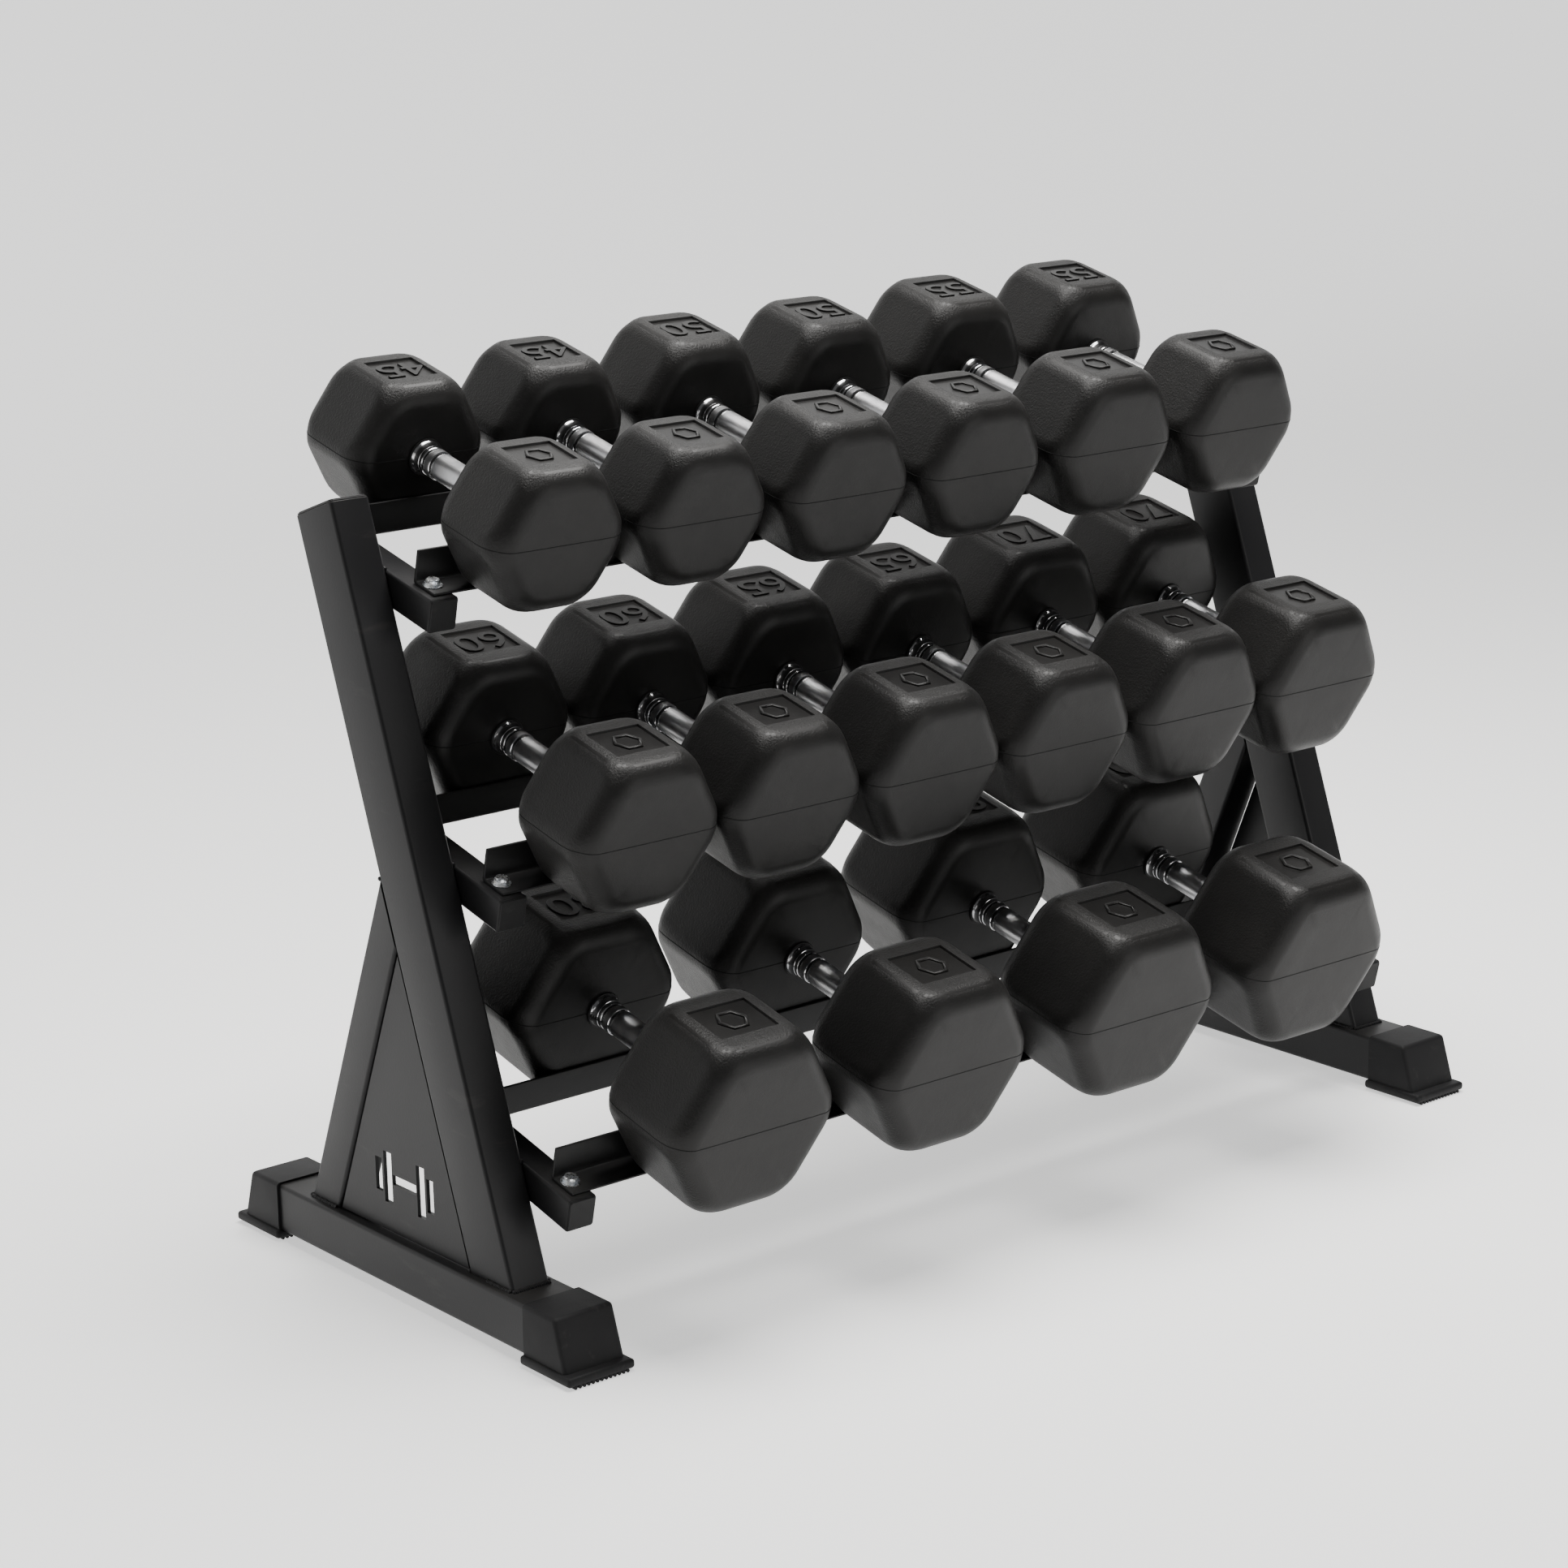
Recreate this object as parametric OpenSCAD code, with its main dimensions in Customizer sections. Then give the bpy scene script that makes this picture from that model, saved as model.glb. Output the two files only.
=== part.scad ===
// Three-tier dumbbell rack with sixteen rubber hex dumbbells.
//
// Two side frames (a base tube on two feet, a leaning post, a brace and a gusset plate)
// carry three pairs of arms.  Two angle rails are bolted across each pair of arms, and the
// dumbbells lie across the rails with their heads outside the two upright legs.
//
// Millimetres.  +Z is up, -Y is the side the user stands on, +X runs along the rack.
// The origin is on the floor under the middle of the loaded rack.

/* [Side frames] */
// width of the base tube
base_tube_w = 66; // [50:1:80]
// height of the base tube
base_tube_h = 52; // [40:1:60]
// length of the base tube, inside the feet at both ends
base_length = 520; // [430:5:640]
// underside of the base tube above the floor
base_clearance = 10; // [8:1:14]
// from the front end of the base tube back to the post's front face
post_inset = 70.2; // [50:0.1:100]
// from the rear end of the base tube forward to the brace's rear face
brace_inset = 85.1; // [60:0.1:110]
// width of the post and of the brace, across the frame
post_w = 45; // [38:1:52]
// depth of the post
post_d = 70; // [60:1:80]
// length of the post along its front face
post_length = 794; // [700:1:920]
// backward lean of the post, in degrees
post_lean = 19; // [16:0.5:22]
// depth of the brace
brace_d = 48; // [40:1:56]
// forward lean of the brace, in degrees
brace_lean = 23; // [20:0.5:26]
// wall of every steel tube
tube_wall = 2.5; // [2:0.5:3]
// thickness of the gusset plate
gusset_t = 4; // [3:0.5:6]

/* [Tiers] */
// from the post's upper front edge down to the front end of the top arms
top_arm_drop = 90.7; // [80:0.1:130]
// height of the front end of the bottom arms' upper face; the middle arms are halfway
bottom_arm_z = 156; // [140:1:180]
// how far the arms stand out in front of the posts
arm_reach = 69; // [60:1:76]
// slope of the arms towards the user, in degrees
tier_tilt = 14; // [10:0.5:16]
// width of an arm
arm_w = 33; // [28:1:36]
// height of an arm
arm_h = 35; // [28:1:38]
// how far the arms run on behind the rear rail
arm_end = 11; // [4:1:30]

/* [Rails] */
// width of each leg of the angle rails
rail_leg = 36; // [30:1:38]
// thickness of the angle rails
rail_t = 3; // [2:0.5:4]
// setback of the front rail from the arm's front end
rail_setback = 6.5; // [4:0.5:10]
// how much longer the grip is than the space the two upright legs take
handle_play = 8.5; // [2:0.5:14]

/* [Dumbbells] */
// distance across the flats of the heads, lightest pair first
head_flats = [148, 154, 160, 163, 167, 172, 184, 192];
// length of each head along the handle, in the same order
head_lengths = [114, 117, 119, 122, 125, 127, 132, 137];
// rounding of the heads' edges
head_round = 23; // [14:1:26]
// clear length of the handle between the two heads
grip_length = 130; // [126:1:160]
// thickness of the rubber coat
coat_t = 12; // [4:0.5:14]
// radius of the knurled grip
grip_r = 14.5; // [13:0.5:17]
// space between neighbours on the top, middle and bottom tier
row_gaps = [15.3, 0.8, 51];
// space between the first dumbbell of each tier and the left post
row_starts = [11, 19.5, 43];
// free space between the longest row and the right post
end_room = 20; // [4:1:60]

/* [Fasteners] */
// diameter of the rail bolts
bolt_d = 8; // [6:1:10]
// distance across the flats of the bolt heads and nuts
bolt_flats = 13; // [12:1:17]
// diameter of the washers
washer_d = 20; // [16:1:24]

/* [Hidden] */
$fn = 48;
// between solids of one body
fit_gap = 0.2;
// between a dumbbell and the rack
body_gap = 0.5;
// how far a cutter runs past what it cuts
past = 1;

base_top = base_clearance + base_tube_h;
top_arm_z = base_top + post_length * cos(post_lean) - top_arm_drop;
tier_z = [top_arm_z, (top_arm_z + bottom_arm_z) / 2, bottom_arm_z];
// which size of head lies at each place, tier by tier from the left
rows = [[0, 0, 1, 1, 2, 2], [3, 3, 4, 4, 5, 5], [6, 6, 7, 7]];

// a head's width from edge to edge, with its edges rounded
function head_width(size) = head_flats[size] / cos(30) - 2 * head_round * (1 / cos(30) - 1);
// distance from the left post to the near side of place i, and the length of a whole row
function row_run(t, i) = i == 0
    ? row_starts[t]
    : row_run(t, i - 1) + head_width(rows[t][i - 1]) + row_gaps[t];
function row_length(t) = row_run(t, len(rows[t]) - 1) + head_width(rows[t][len(rows[t]) - 1]);
inner_width = max([for (t = [0:2]) row_length(t)]) + end_room;
function place_x(t, i) = row_run(t, i) + head_width(rows[t][i]) / 2 - inner_width / 2;
frame_x = inner_width / 2 + post_w / 2;
arm_x = inner_width / 2 - arm_w / 2;

// along an arm, measured back from its front end
front_leg_back = rail_setback + rail_leg;
rear_leg_front = front_leg_back + grip_length - 2 * rail_t - handle_play;
arm_length = rear_leg_front + rail_leg + arm_end;
// the rear heads lie against the rear rail's upright leg
dumbbell_middle = rear_leg_front + rail_t + body_gap - grip_length / 2;
rail_backs = [rail_setback, rear_leg_front + rail_leg];
// from the post to the end of a rail
rail_end_inset = 8.5;
rail_length = inner_width - 2 * rail_end_inset;
// flat steel left round a washer, on the side of the upright leg and at the rail's end
washer_room = 4;
washer_edge = 1;
bolt_inset = rail_leg - rail_t - washer_room - washer_d / 2;
bolt_backs = [rail_setback + bolt_inset, rear_leg_front + rail_leg - bolt_inset];
bolt_x = rail_length / 2 - washer_edge - washer_d / 2;

// the feet: the sole's size, and how far it stands out past the end of the base tube
sole_w = 80;
sole_l = 83;
sole_t = 12.5;
sole_reach = 44;
// the sole's cut corners: under its toe, and over its toe along and down
sole_toe = 3;
sole_lip = 6;
sole_lip_drop = 4;
// the boot: its wall, its setback from the toe, the run of its slope and its setback at the heel
foot_wall = 2.5;
foot_toe = 10;
foot_slope = 18;
foot_heel = 3;
sole_middle = base_length / 2 + sole_reach - sole_l / 2;
foot_top = base_top + foot_wall;
foot_w = base_tube_w + 2 * foot_wall + 2 * fit_gap;
// where the foot's pocket ends, from the middle of the sole
foot_pocket_y = sole_middle - base_length / 2 - fit_gap;

// the middle of the base tubes and the posts' front faces, placed so that the whole
// loaded rack is centred over the origin
biggest = len(head_flats) - 1;
head_reach = cos(tier_tilt) * (grip_length / 2 + head_lengths[biggest] - head_round - dumbbell_middle)
    + sin(tier_tilt) * (rail_t + body_gap + head_flats[biggest] - head_round)
    + head_round;
post_setback = base_length / 2 - post_inset;
front_below = post_setback - (tier_z[2] - base_top) * tan(post_lean) + arm_reach + head_reach;
base_y = (front_below - sole_middle - sole_l / 2) / 2;
post_y = base_y - post_setback;
function tier_y(t) = post_y + (tier_z[t] - base_top) * tan(post_lean) - arm_reach;

// where the brace stands on the base tube, and where it meets the post's rear face
post_foot = post_d / cos(post_lean);
brace_foot = brace_d / cos(brace_lean);
brace_front_y = base_y + base_length / 2 - brace_inset - brace_foot;

// the gusset plate: the joint left round it, and its depth below the tubes' outer faces
gusset_rim = 1.5;
gusset_inset = 2;
// the sign cut through it, as shares of the gap between post and brace at the base
sign_share = 0.5;
sign_shift = 0.04;
sign_bar = [0.36, 0.09];
sign_plates = [[0.25, 0.12, 0.46], [0.39, 0.10, 0.30]];

// the post caps: plate, edge left free and depth of the part inside the post
post_cap_t = 3;
post_cap_rim = 0.5;
post_cap_depth = 12;

// the arm plugs: flange and depth of the part inside the arm
plug_t = 2.5;
plug_depth = 9;

// washers, bolt heads, nuts and the thread that stands out below the nuts
washer_t = 1.6;
bolt_head_h = 5.3;
nut_h = 6.5;
thread_end = 3;

// width of a weld bead along each leg
bead = 4;

// the handle, by radius: pin inside the head, flared collar, grooves and ring
pin_r = 12.5;
collar_r = 18;
groove_r = 13;
ring_r = 15.5;
collar_rise = 0.5;
// the handle, by distance from the head: start of flare, grooves and ring
flare_at = 6;
collar_at = 16.5;
outer_groove_at = 17;
ring_ends = [19.5, 20, 28, 28.5];
inner_groove_at = 31;
grip_end_at = 32;
// how much of the head's length the pin reaches through
pin_share = 0.6;

// colours
steel = [0.20, 0.20, 0.21];
zinc = [0.75, 0.76, 0.78];
chrome = [0.82, 0.83, 0.85];
rubber = [0.17, 0.17, 0.17];
plastic = [0.10, 0.10, 0.11];

// ---- shared shapes ----

// a side view in Y and Z, w wide, with its middle at x
module side_view(x, w)
    translate([x - w / 2, 0, 0])
        rotate([90, 0, 90])
            linear_extrude(w)
                children();

// a box given by its lowest and highest corners
module block(low, high)
    translate(low)
        cube(high - low);

// into the frame of an arm: X along the rack, Y back along the arm, Z square to it,
// with the origin on the arm's upper face at its front end
module on_tier(t)
    translate([0, tier_y(t), tier_z[t]])
        rotate([tier_tilt, 0, 0])
            children();

// into the frame of a post: Y back through it and Z up along its front face
module on_post(side)
    translate([side * frame_x, post_y, base_top])
        rotate([-post_lean, 0, 0])
            children();

// ---- side frames ----

module base_tube(side)
    color(steel)
        translate([side * frame_x, base_y, base_clearance])
            difference() {
                block([-base_tube_w / 2, -base_length / 2, 0],
                    [base_tube_w / 2, base_length / 2, base_tube_h]);
                block([-base_tube_w / 2 + tube_wall, -base_length / 2 - past, tube_wall],
                    [base_tube_w / 2 - tube_wall, base_length / 2 + past, base_tube_h - tube_wall]);
            }

// a post: a box section cut level where it stands on the base tube
module post(side)
    color(steel)
        difference() {
            on_post(side)
                difference() {
                    block([-post_w / 2, 0, -post_d], [post_w / 2, post_d, post_length]);
                    block([-post_w / 2 + tube_wall, tube_wall, -post_d - past],
                        [post_w / 2 - tube_wall, post_d - tube_wall, post_length + past]);
                }
            below_base(side);
        }

// everything under the upper face of a base tube
module below_base(side)
    translate([side * frame_x, post_y, base_top])
        block([-post_w, -2 * post_d, -2 * post_d], [post_w, 4 * post_d, 0]);

// the point of the post's rear face met by a line as slanted as the brace, that starts this
// far behind the brace's front edge
function brace_meets(behind) =
    let (h = (brace_front_y + behind - post_y - post_foot) / (tan(post_lean) + tan(brace_lean)))
    [post_y + post_foot + h * tan(post_lean), base_top + h];

// the brace seen from the side, or the hollow inside it
module brace_view(wall)
    polygon([
        [brace_front_y + wall / cos(brace_lean), base_top],
        [brace_front_y + brace_foot - wall / cos(brace_lean), base_top],
        brace_meets(brace_foot - wall / cos(brace_lean)),
        brace_meets(wall / cos(brace_lean))
    ]);

module brace(side)
    color(steel)
        difference() {
            side_view(side * frame_x, post_w)
                brace_view(0);
            side_view(side * frame_x, post_w - 2 * tube_wall)
                brace_view(tube_wall);
        }

// the gusset plate closes the triangle between post, brace and base tube, near the outer face
module gusset(side)
    color(steel)
        side_view(side * (frame_x + post_w / 2 - gusset_inset - gusset_t / 2), gusset_t)
            difference() {
                gusset_view();
                gusset_window();
            }

module gusset_view() {
    apex = brace_meets(0);
    polygon([
        [post_y + post_foot + 2 * gusset_rim, base_top + gusset_rim],
        [brace_front_y - 2 * gusset_rim, base_top + gusset_rim],
        [apex[0], apex[1] - 5 * gusset_rim]
    ]);
}

// a plain dumbbell sign cut through the plate
module gusset_window() {
    wide = (brace_front_y - post_y - post_foot) * sign_share;
    translate([(brace_front_y + post_y + post_foot) / 2 - wide * sign_shift, base_top + wide / 2]) {
        square(wide * sign_bar, center = true);
        for (way = [-1, 1])
            for (plate = sign_plates)
                translate([way * wide * plate[0], 0])
                    square([wide * plate[1], wide * plate[2]], center = true);
    }
}

module arm(t, side)
    color(steel)
        on_tier(t)
            translate([side * arm_x, 0, -arm_h])
                difference() {
                    block([-arm_w / 2, 0, 0], [arm_w / 2, arm_length, arm_h]);
                    block([-arm_w / 2 + tube_wall, -past, tube_wall],
                        [arm_w / 2 - tube_wall, arm_length + past, arm_h - tube_wall]);
                    for (back = bolt_backs)
                        translate([side * (bolt_x - arm_x), back, -past])
                            cylinder(h = arm_h + 2 * past, d = bolt_d + 2 * fit_gap);
                }

// an angle rail; way is 1 when its upright leg is at its back edge and -1 at its front edge
module rail(t, way)
    color(steel)
        on_tier(t)
            difference() {
                translate([0, way == 1 ? rail_backs[0] : rail_backs[1], 0])
                    rotate([0, 0, way == 1 ? 0 : 180])
                        rotate([90, 0, 90])
                            translate([0, 0, -rail_length / 2])
                                linear_extrude(rail_length)
                                    polygon([
                                        [0, 0],
                                        [rail_leg, 0],
                                        [rail_leg, rail_leg],
                                        [rail_leg - rail_t, rail_leg],
                                        [rail_leg - rail_t, rail_t],
                                        [0, rail_t]
                                    ]);
                for (side = [-1, 1])
                    translate([side * bolt_x, way == 1 ? bolt_backs[0] : bolt_backs[1], -past])
                        cylinder(h = rail_t + 2 * past, d = bolt_d + 2 * fit_gap);
            }

// ---- feet and plugs ----

// a foot over the end of each base tube; way is -1 at the front and 1 at the rear
module feet(way)
    color(plastic)
        for (side = [-1, 1])
            translate([side * frame_x, base_y + way * sole_middle, 0])
                rotate([0, 0, way == 1 ? 180 : 0])
                    difference() {
                        union() {
                            side_view(0, sole_w)
                                polygon([
                                    [-sole_l / 2, sole_toe],
                                    [-sole_l / 2 + sole_toe, 0],
                                    [sole_l / 2, 0],
                                    [sole_l / 2, sole_t],
                                    [-sole_l / 2 + sole_lip, sole_t],
                                    [-sole_l / 2, sole_t - sole_lip_drop]
                                ]);
                            side_view(0, foot_w)
                                polygon([
                                    [-sole_l / 2 + foot_toe, sole_t],
                                    [-sole_l / 2 + foot_toe + foot_slope, foot_top],
                                    [sole_l / 2 - foot_heel, foot_top],
                                    [sole_l / 2 - foot_heel, sole_t]
                                ]);
                        }
                        block([-base_tube_w / 2 - fit_gap, foot_pocket_y, base_clearance - fit_gap],
                            [base_tube_w / 2 + fit_gap, sole_l, base_top + fit_gap]);
                    }

// a cap in the upper end of each post
module post_caps()
    color(plastic)
        for (side = [-1, 1])
            on_post(side)
                union() {
                    block([-post_w / 2 + post_cap_rim, post_cap_rim, post_length],
                        [post_w / 2 - post_cap_rim, post_d - post_cap_rim, post_length + post_cap_t]);
                    block([-post_w / 2 + tube_wall + fit_gap, tube_wall + fit_gap,
                            post_length - post_cap_depth],
                        [post_w / 2 - tube_wall - fit_gap, post_d - tube_wall - fit_gap, post_length]);
                }

// a plug in each end of each arm
module arm_plugs()
    color(plastic)
        for (t = [0:2])
            on_tier(t)
                for (side = [-1, 1])
                    translate([side * arm_x, arm_length / 2, -arm_h / 2])
                        for (turn = [0, 180])
                            rotate([0, 0, turn])
                                arm_plug();

module arm_plug() {
    block([-arm_w / 2, -arm_length / 2 - plug_t, -arm_h / 2],
        [arm_w / 2, -arm_length / 2, arm_h / 2]);
    block([-arm_w / 2 + tube_wall + fit_gap, -arm_length / 2, -arm_h / 2 + tube_wall + fit_gap],
        [arm_w / 2 - tube_wall - fit_gap, -arm_length / 2 + plug_depth, arm_h / 2 - tube_wall - fit_gap]);
}

// ---- fasteners ----

// puts its children at every bolt, on the upper face of the rails
module at_bolts()
    for (t = [0:2])
        on_tier(t)
            for (side = [-1, 1])
                for (back = bolt_backs)
                    translate([side * bolt_x, back, rail_t])
                        children();

module rail_washers()
    color(zinc)
        at_bolts()
            difference() {
                cylinder(h = washer_t, d = washer_d);
                translate([0, 0, -past])
                    cylinder(h = washer_t + 2 * past, d = bolt_d + 2 * fit_gap);
            }

module rail_bolts()
    color(zinc)
        at_bolts()
            union() {
                translate([0, 0, washer_t])
                    cylinder(h = bolt_head_h, d = bolt_flats / cos(30), $fn = 6);
                translate([0, 0, -rail_t - arm_h - nut_h - thread_end])
                    cylinder(h = rail_t + arm_h + nut_h + thread_end + washer_t, d = bolt_d);
            }

module rail_nuts()
    color(zinc)
        at_bolts()
            translate([0, 0, -rail_t - arm_h - nut_h])
                difference() {
                    cylinder(h = nut_h, d = bolt_flats / cos(30), $fn = 6);
                    translate([0, 0, -past])
                        cylinder(h = nut_h + 2 * past, d = bolt_d + 2 * fit_gap);
                }

// ---- weld beads ----

// a bead of triangular section in the corner at a point of the side view
module bead_view(point, lean, way)
    translate(point)
        polygon([[0, 0], [way * bead, 0], [bead * tan(lean), bead]]);

module welds()
    color(steel)
        for (side = [-1, 1]) {
            side_view(side * frame_x, post_w) {
                bead_view([post_y, base_top], post_lean, -1);
                bead_view([post_y + post_foot, base_top], post_lean, 1);
                bead_view([brace_front_y + brace_foot, base_top], -brace_lean, 1);
                translate(brace_meets(brace_foot))
                    rotate(90 - post_lean)
                        polygon([[0, 0], [bead, 0], [-bead * sin(post_lean + brace_lean) / 2, -bead]]);
            }
            for (t = [0:2])
                on_tier(t)
                    translate([side * (arm_x + arm_w / 2), 0, 0])
                        arm_beads(side);
        }

// beads along the upper and lower edge of an arm, where it lies against the post
module arm_beads(side)
    for (top = [0, 1])
        translate([0, arm_reach / cos(tier_tilt) + bead, top ? 0 : -arm_h])
            rotate([-90, 0, 0])
                linear_extrude(post_d)
                    polygon([[0, 0], [-side * bead, 0], [0, top ? -bead : bead]]);

// ---- dumbbells ----

// a corner of a profile in two flats; out is 1 or -1 across and up
function corner(across, up, r, sx, sy) = [for (a = [0, 45, 90])
    [sx * (across - r + r * cos(a)), sy * (up - r + r * sin(a))]];
function turned(points) = [for (i = [len(points) - 1:-1:0]) points[i]];

// a rectangle with broken corners
module broken_rectangle(across, up, r)
    polygon(concat(
        corner(across, up, r, 1, 1),
        turned(corner(across, up, r, -1, 1)),
        corner(across, up, r, -1, -1),
        turned(corner(across, up, r, 1, -1))
    ));

// a six-sided prism along Y with every edge broken, centred on the origin
module six_sided(flats, long, r)
    intersection_for (turn = [0, 60, 120])
        rotate([0, turn, 0])
            rotate([90, 0, 90])
                translate([0, 0, -flats])
                    linear_extrude(2 * flats)
                        broken_rectangle(long / 2, flats / 2, r);

// the same prism with its six long edges broken as well
module head_solid(flats, long, r)
    intersection() {
        six_sided(flats, long, r);
        rotate([90, 0, 0])
            translate([0, 0, -long])
                linear_extrude(2 * long)
                    broken_hexagon(flats / 2, r);
    }

// a hexagon with flats at the top and bottom and its six corners broken
module broken_hexagon(apothem, r)
    polygon([for (k = [0:5]) for (a = [-30, 0, 30])
        let (v = 60 * k, far = (apothem - r) / cos(30))
        [far * cos(v) + r * cos(v + a), far * sin(v) + r * sin(v + a)]]);

// into the frame of one dumbbell: Y along the handle, its middle at the origin
module at_place(t, i)
    on_tier(t)
        translate([place_x(t, i), dumbbell_middle, rail_t + body_gap + head_flats[rows[t][i]] / 2])
            children();

module coats(t, i) {
    size = rows[t][i];
    flats = head_flats[size];
    long = head_lengths[size];
    color(rubber)
        at_place(t, i)
            for (way = [-1, 1])
                translate([0, way * (grip_length + long) / 2, 0])
                    difference() {
                        head_solid(flats, long, head_round);
                        head_solid(flats - 2 * coat_t, long - 2 * coat_t, head_round - coat_t);
                        rotate([way * 90, 0, 0])
                            cylinder(h = long, r = pin_r + fit_gap);
                    }
}

module bar(t, i) {
    size = rows[t][i];
    flats = head_flats[size] - 2 * (coat_t + fit_gap);
    long = head_lengths[size];
    color(chrome)
        at_place(t, i) {
            rotate([-90, 0, 0])
                handle(long);
            for (way = [-1, 1])
                translate([0, way * (grip_length + long) / 2, 0])
                    difference() {
                        head_solid(flats, long - 2 * (coat_t + fit_gap), head_round - coat_t);
                        rotate([90, 0, 0])
                            cylinder(h = long * 2, r = pin_r + fit_gap, center = true);
                    }
        }
}

// the chromed handle, from its middle outwards: grip, groove, ring, groove, flared collar
// and the pin pressed into the head; each entry is a radius and its distance from the middle
function handle_half(long) =
    let (half = grip_length / 2, pin_end = half + long * pin_share)
    [
        [grip_r, 0],
        [grip_r, half - grip_end_at],
        [groove_r, half - inner_groove_at],
        [groove_r, half - ring_ends[3]],
        [ring_r, half - ring_ends[2]],
        [ring_r, half - ring_ends[1]],
        [groove_r, half - ring_ends[0]],
        [groove_r, half - outer_groove_at],
        [ring_r, half - collar_at],
        [ring_r + collar_rise, half - flare_at],
        [collar_r, half - fit_gap],
        [pin_r, half - fit_gap],
        [pin_r, pin_end],
        [0, pin_end]
    ];

module handle(long) {
    upper = handle_half(long);
    rotate_extrude()
        polygon(concat(
            upper,
            [for (i = [len(upper) - 1:-1:1]) [upper[i][0], -upper[i][1]]]
        ));
}

// ---- the nodes ----

base_tube(-1);  // base_tube_left
base_tube(1);  // base_tube_right
post(-1);  // post_left
post(1);  // post_right
brace(-1);  // brace_left
brace(1);  // brace_right
gusset(-1);  // gusset_left
gusset(1);  // gusset_right
arm(0, -1);  // arm_top_left
arm(0, 1);  // arm_top_right
arm(1, -1);  // arm_middle_left
arm(1, 1);  // arm_middle_right
arm(2, -1);  // arm_bottom_left
arm(2, 1);  // arm_bottom_right
rail(0, 1);  // rail_top_front
rail(0, -1);  // rail_top_rear
rail(1, 1);  // rail_middle_front
rail(1, -1);  // rail_middle_rear
rail(2, 1);  // rail_bottom_front
rail(2, -1);  // rail_bottom_rear
feet(-1);  // feet_front
feet(1);  // feet_rear
post_caps();
arm_plugs();
rail_bolts();
rail_washers();
rail_nuts();
welds();
coats(0, 0);  // coats_top_1
bar(0, 0);  // bar_top_1
coats(0, 1);  // coats_top_2
bar(0, 1);  // bar_top_2
coats(0, 2);  // coats_top_3
bar(0, 2);  // bar_top_3
coats(0, 3);  // coats_top_4
bar(0, 3);  // bar_top_4
coats(0, 4);  // coats_top_5
bar(0, 4);  // bar_top_5
coats(0, 5);  // coats_top_6
bar(0, 5);  // bar_top_6
coats(1, 0);  // coats_middle_1
bar(1, 0);  // bar_middle_1
coats(1, 1);  // coats_middle_2
bar(1, 1);  // bar_middle_2
coats(1, 2);  // coats_middle_3
bar(1, 2);  // bar_middle_3
coats(1, 3);  // coats_middle_4
bar(1, 3);  // bar_middle_4
coats(1, 4);  // coats_middle_5
bar(1, 4);  // bar_middle_5
coats(1, 5);  // coats_middle_6
bar(1, 5);  // bar_middle_6
coats(2, 0);  // coats_bottom_1
bar(2, 0);  // bar_bottom_1
coats(2, 1);  // coats_bottom_2
bar(2, 1);  // bar_bottom_2
coats(2, 2);  // coats_bottom_3
bar(2, 2);  // bar_bottom_3
coats(2, 3);  // coats_bottom_4
bar(2, 3);  // bar_bottom_4
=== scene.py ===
import math

import bmesh
import bpy
from mathutils import Matrix, Vector


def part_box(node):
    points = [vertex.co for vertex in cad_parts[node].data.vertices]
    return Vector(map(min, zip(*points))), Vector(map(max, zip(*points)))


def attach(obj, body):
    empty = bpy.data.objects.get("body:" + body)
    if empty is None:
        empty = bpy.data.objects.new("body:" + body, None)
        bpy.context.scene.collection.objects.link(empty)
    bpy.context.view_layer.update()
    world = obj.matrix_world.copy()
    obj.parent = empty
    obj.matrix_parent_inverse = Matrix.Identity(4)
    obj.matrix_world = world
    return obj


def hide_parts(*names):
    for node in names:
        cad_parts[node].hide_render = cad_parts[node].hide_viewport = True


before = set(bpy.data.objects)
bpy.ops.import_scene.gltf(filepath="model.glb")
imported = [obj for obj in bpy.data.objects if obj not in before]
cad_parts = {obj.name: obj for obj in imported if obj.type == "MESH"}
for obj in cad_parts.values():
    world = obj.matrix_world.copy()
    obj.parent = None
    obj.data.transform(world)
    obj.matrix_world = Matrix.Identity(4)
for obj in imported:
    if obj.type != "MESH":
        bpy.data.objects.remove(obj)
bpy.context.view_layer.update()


def new_object(name, data):
    """A new object in the scene, standing at the origin."""
    item = bpy.data.objects.new(name, data)
    bpy.context.scene.collection.objects.link(item)
    return item


# ---- The camera ----
# It stands to the front left of the rack, a little above it, a long way back.
CAMERA_PLACE = Vector((-2.5495, -2.9808, 1.4505))
CAMERA_TURN = math.radians(-38.889)
CAMERA_RISE = math.radians(14.494)
CAMERA_ROLL = math.radians(-1.235)

camera_data = bpy.data.cameras.new("camera")
camera_data.sensor_width = 36.0
camera_data.lens = 85.75
camera_data.clip_end = 100.0
camera = new_object("camera", camera_data)
towards_eye = Vector((
    math.sin(CAMERA_TURN) * math.cos(CAMERA_RISE),
    -math.cos(CAMERA_TURN) * math.cos(CAMERA_RISE),
    math.sin(CAMERA_RISE),
))
level_right = (-towards_eye).cross(Vector((0, 0, 1))).normalized()
level_up = level_right.cross(-towards_eye)
eye_right = math.cos(CAMERA_ROLL) * level_right + math.sin(CAMERA_ROLL) * level_up
eye_up = -math.sin(CAMERA_ROLL) * level_right + math.cos(CAMERA_ROLL) * level_up
camera.matrix_world = Matrix.Translation(CAMERA_PLACE) @ Matrix(
    (eye_right, eye_up, towards_eye)).transposed().to_4x4()
bpy.context.scene.camera = camera


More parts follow.
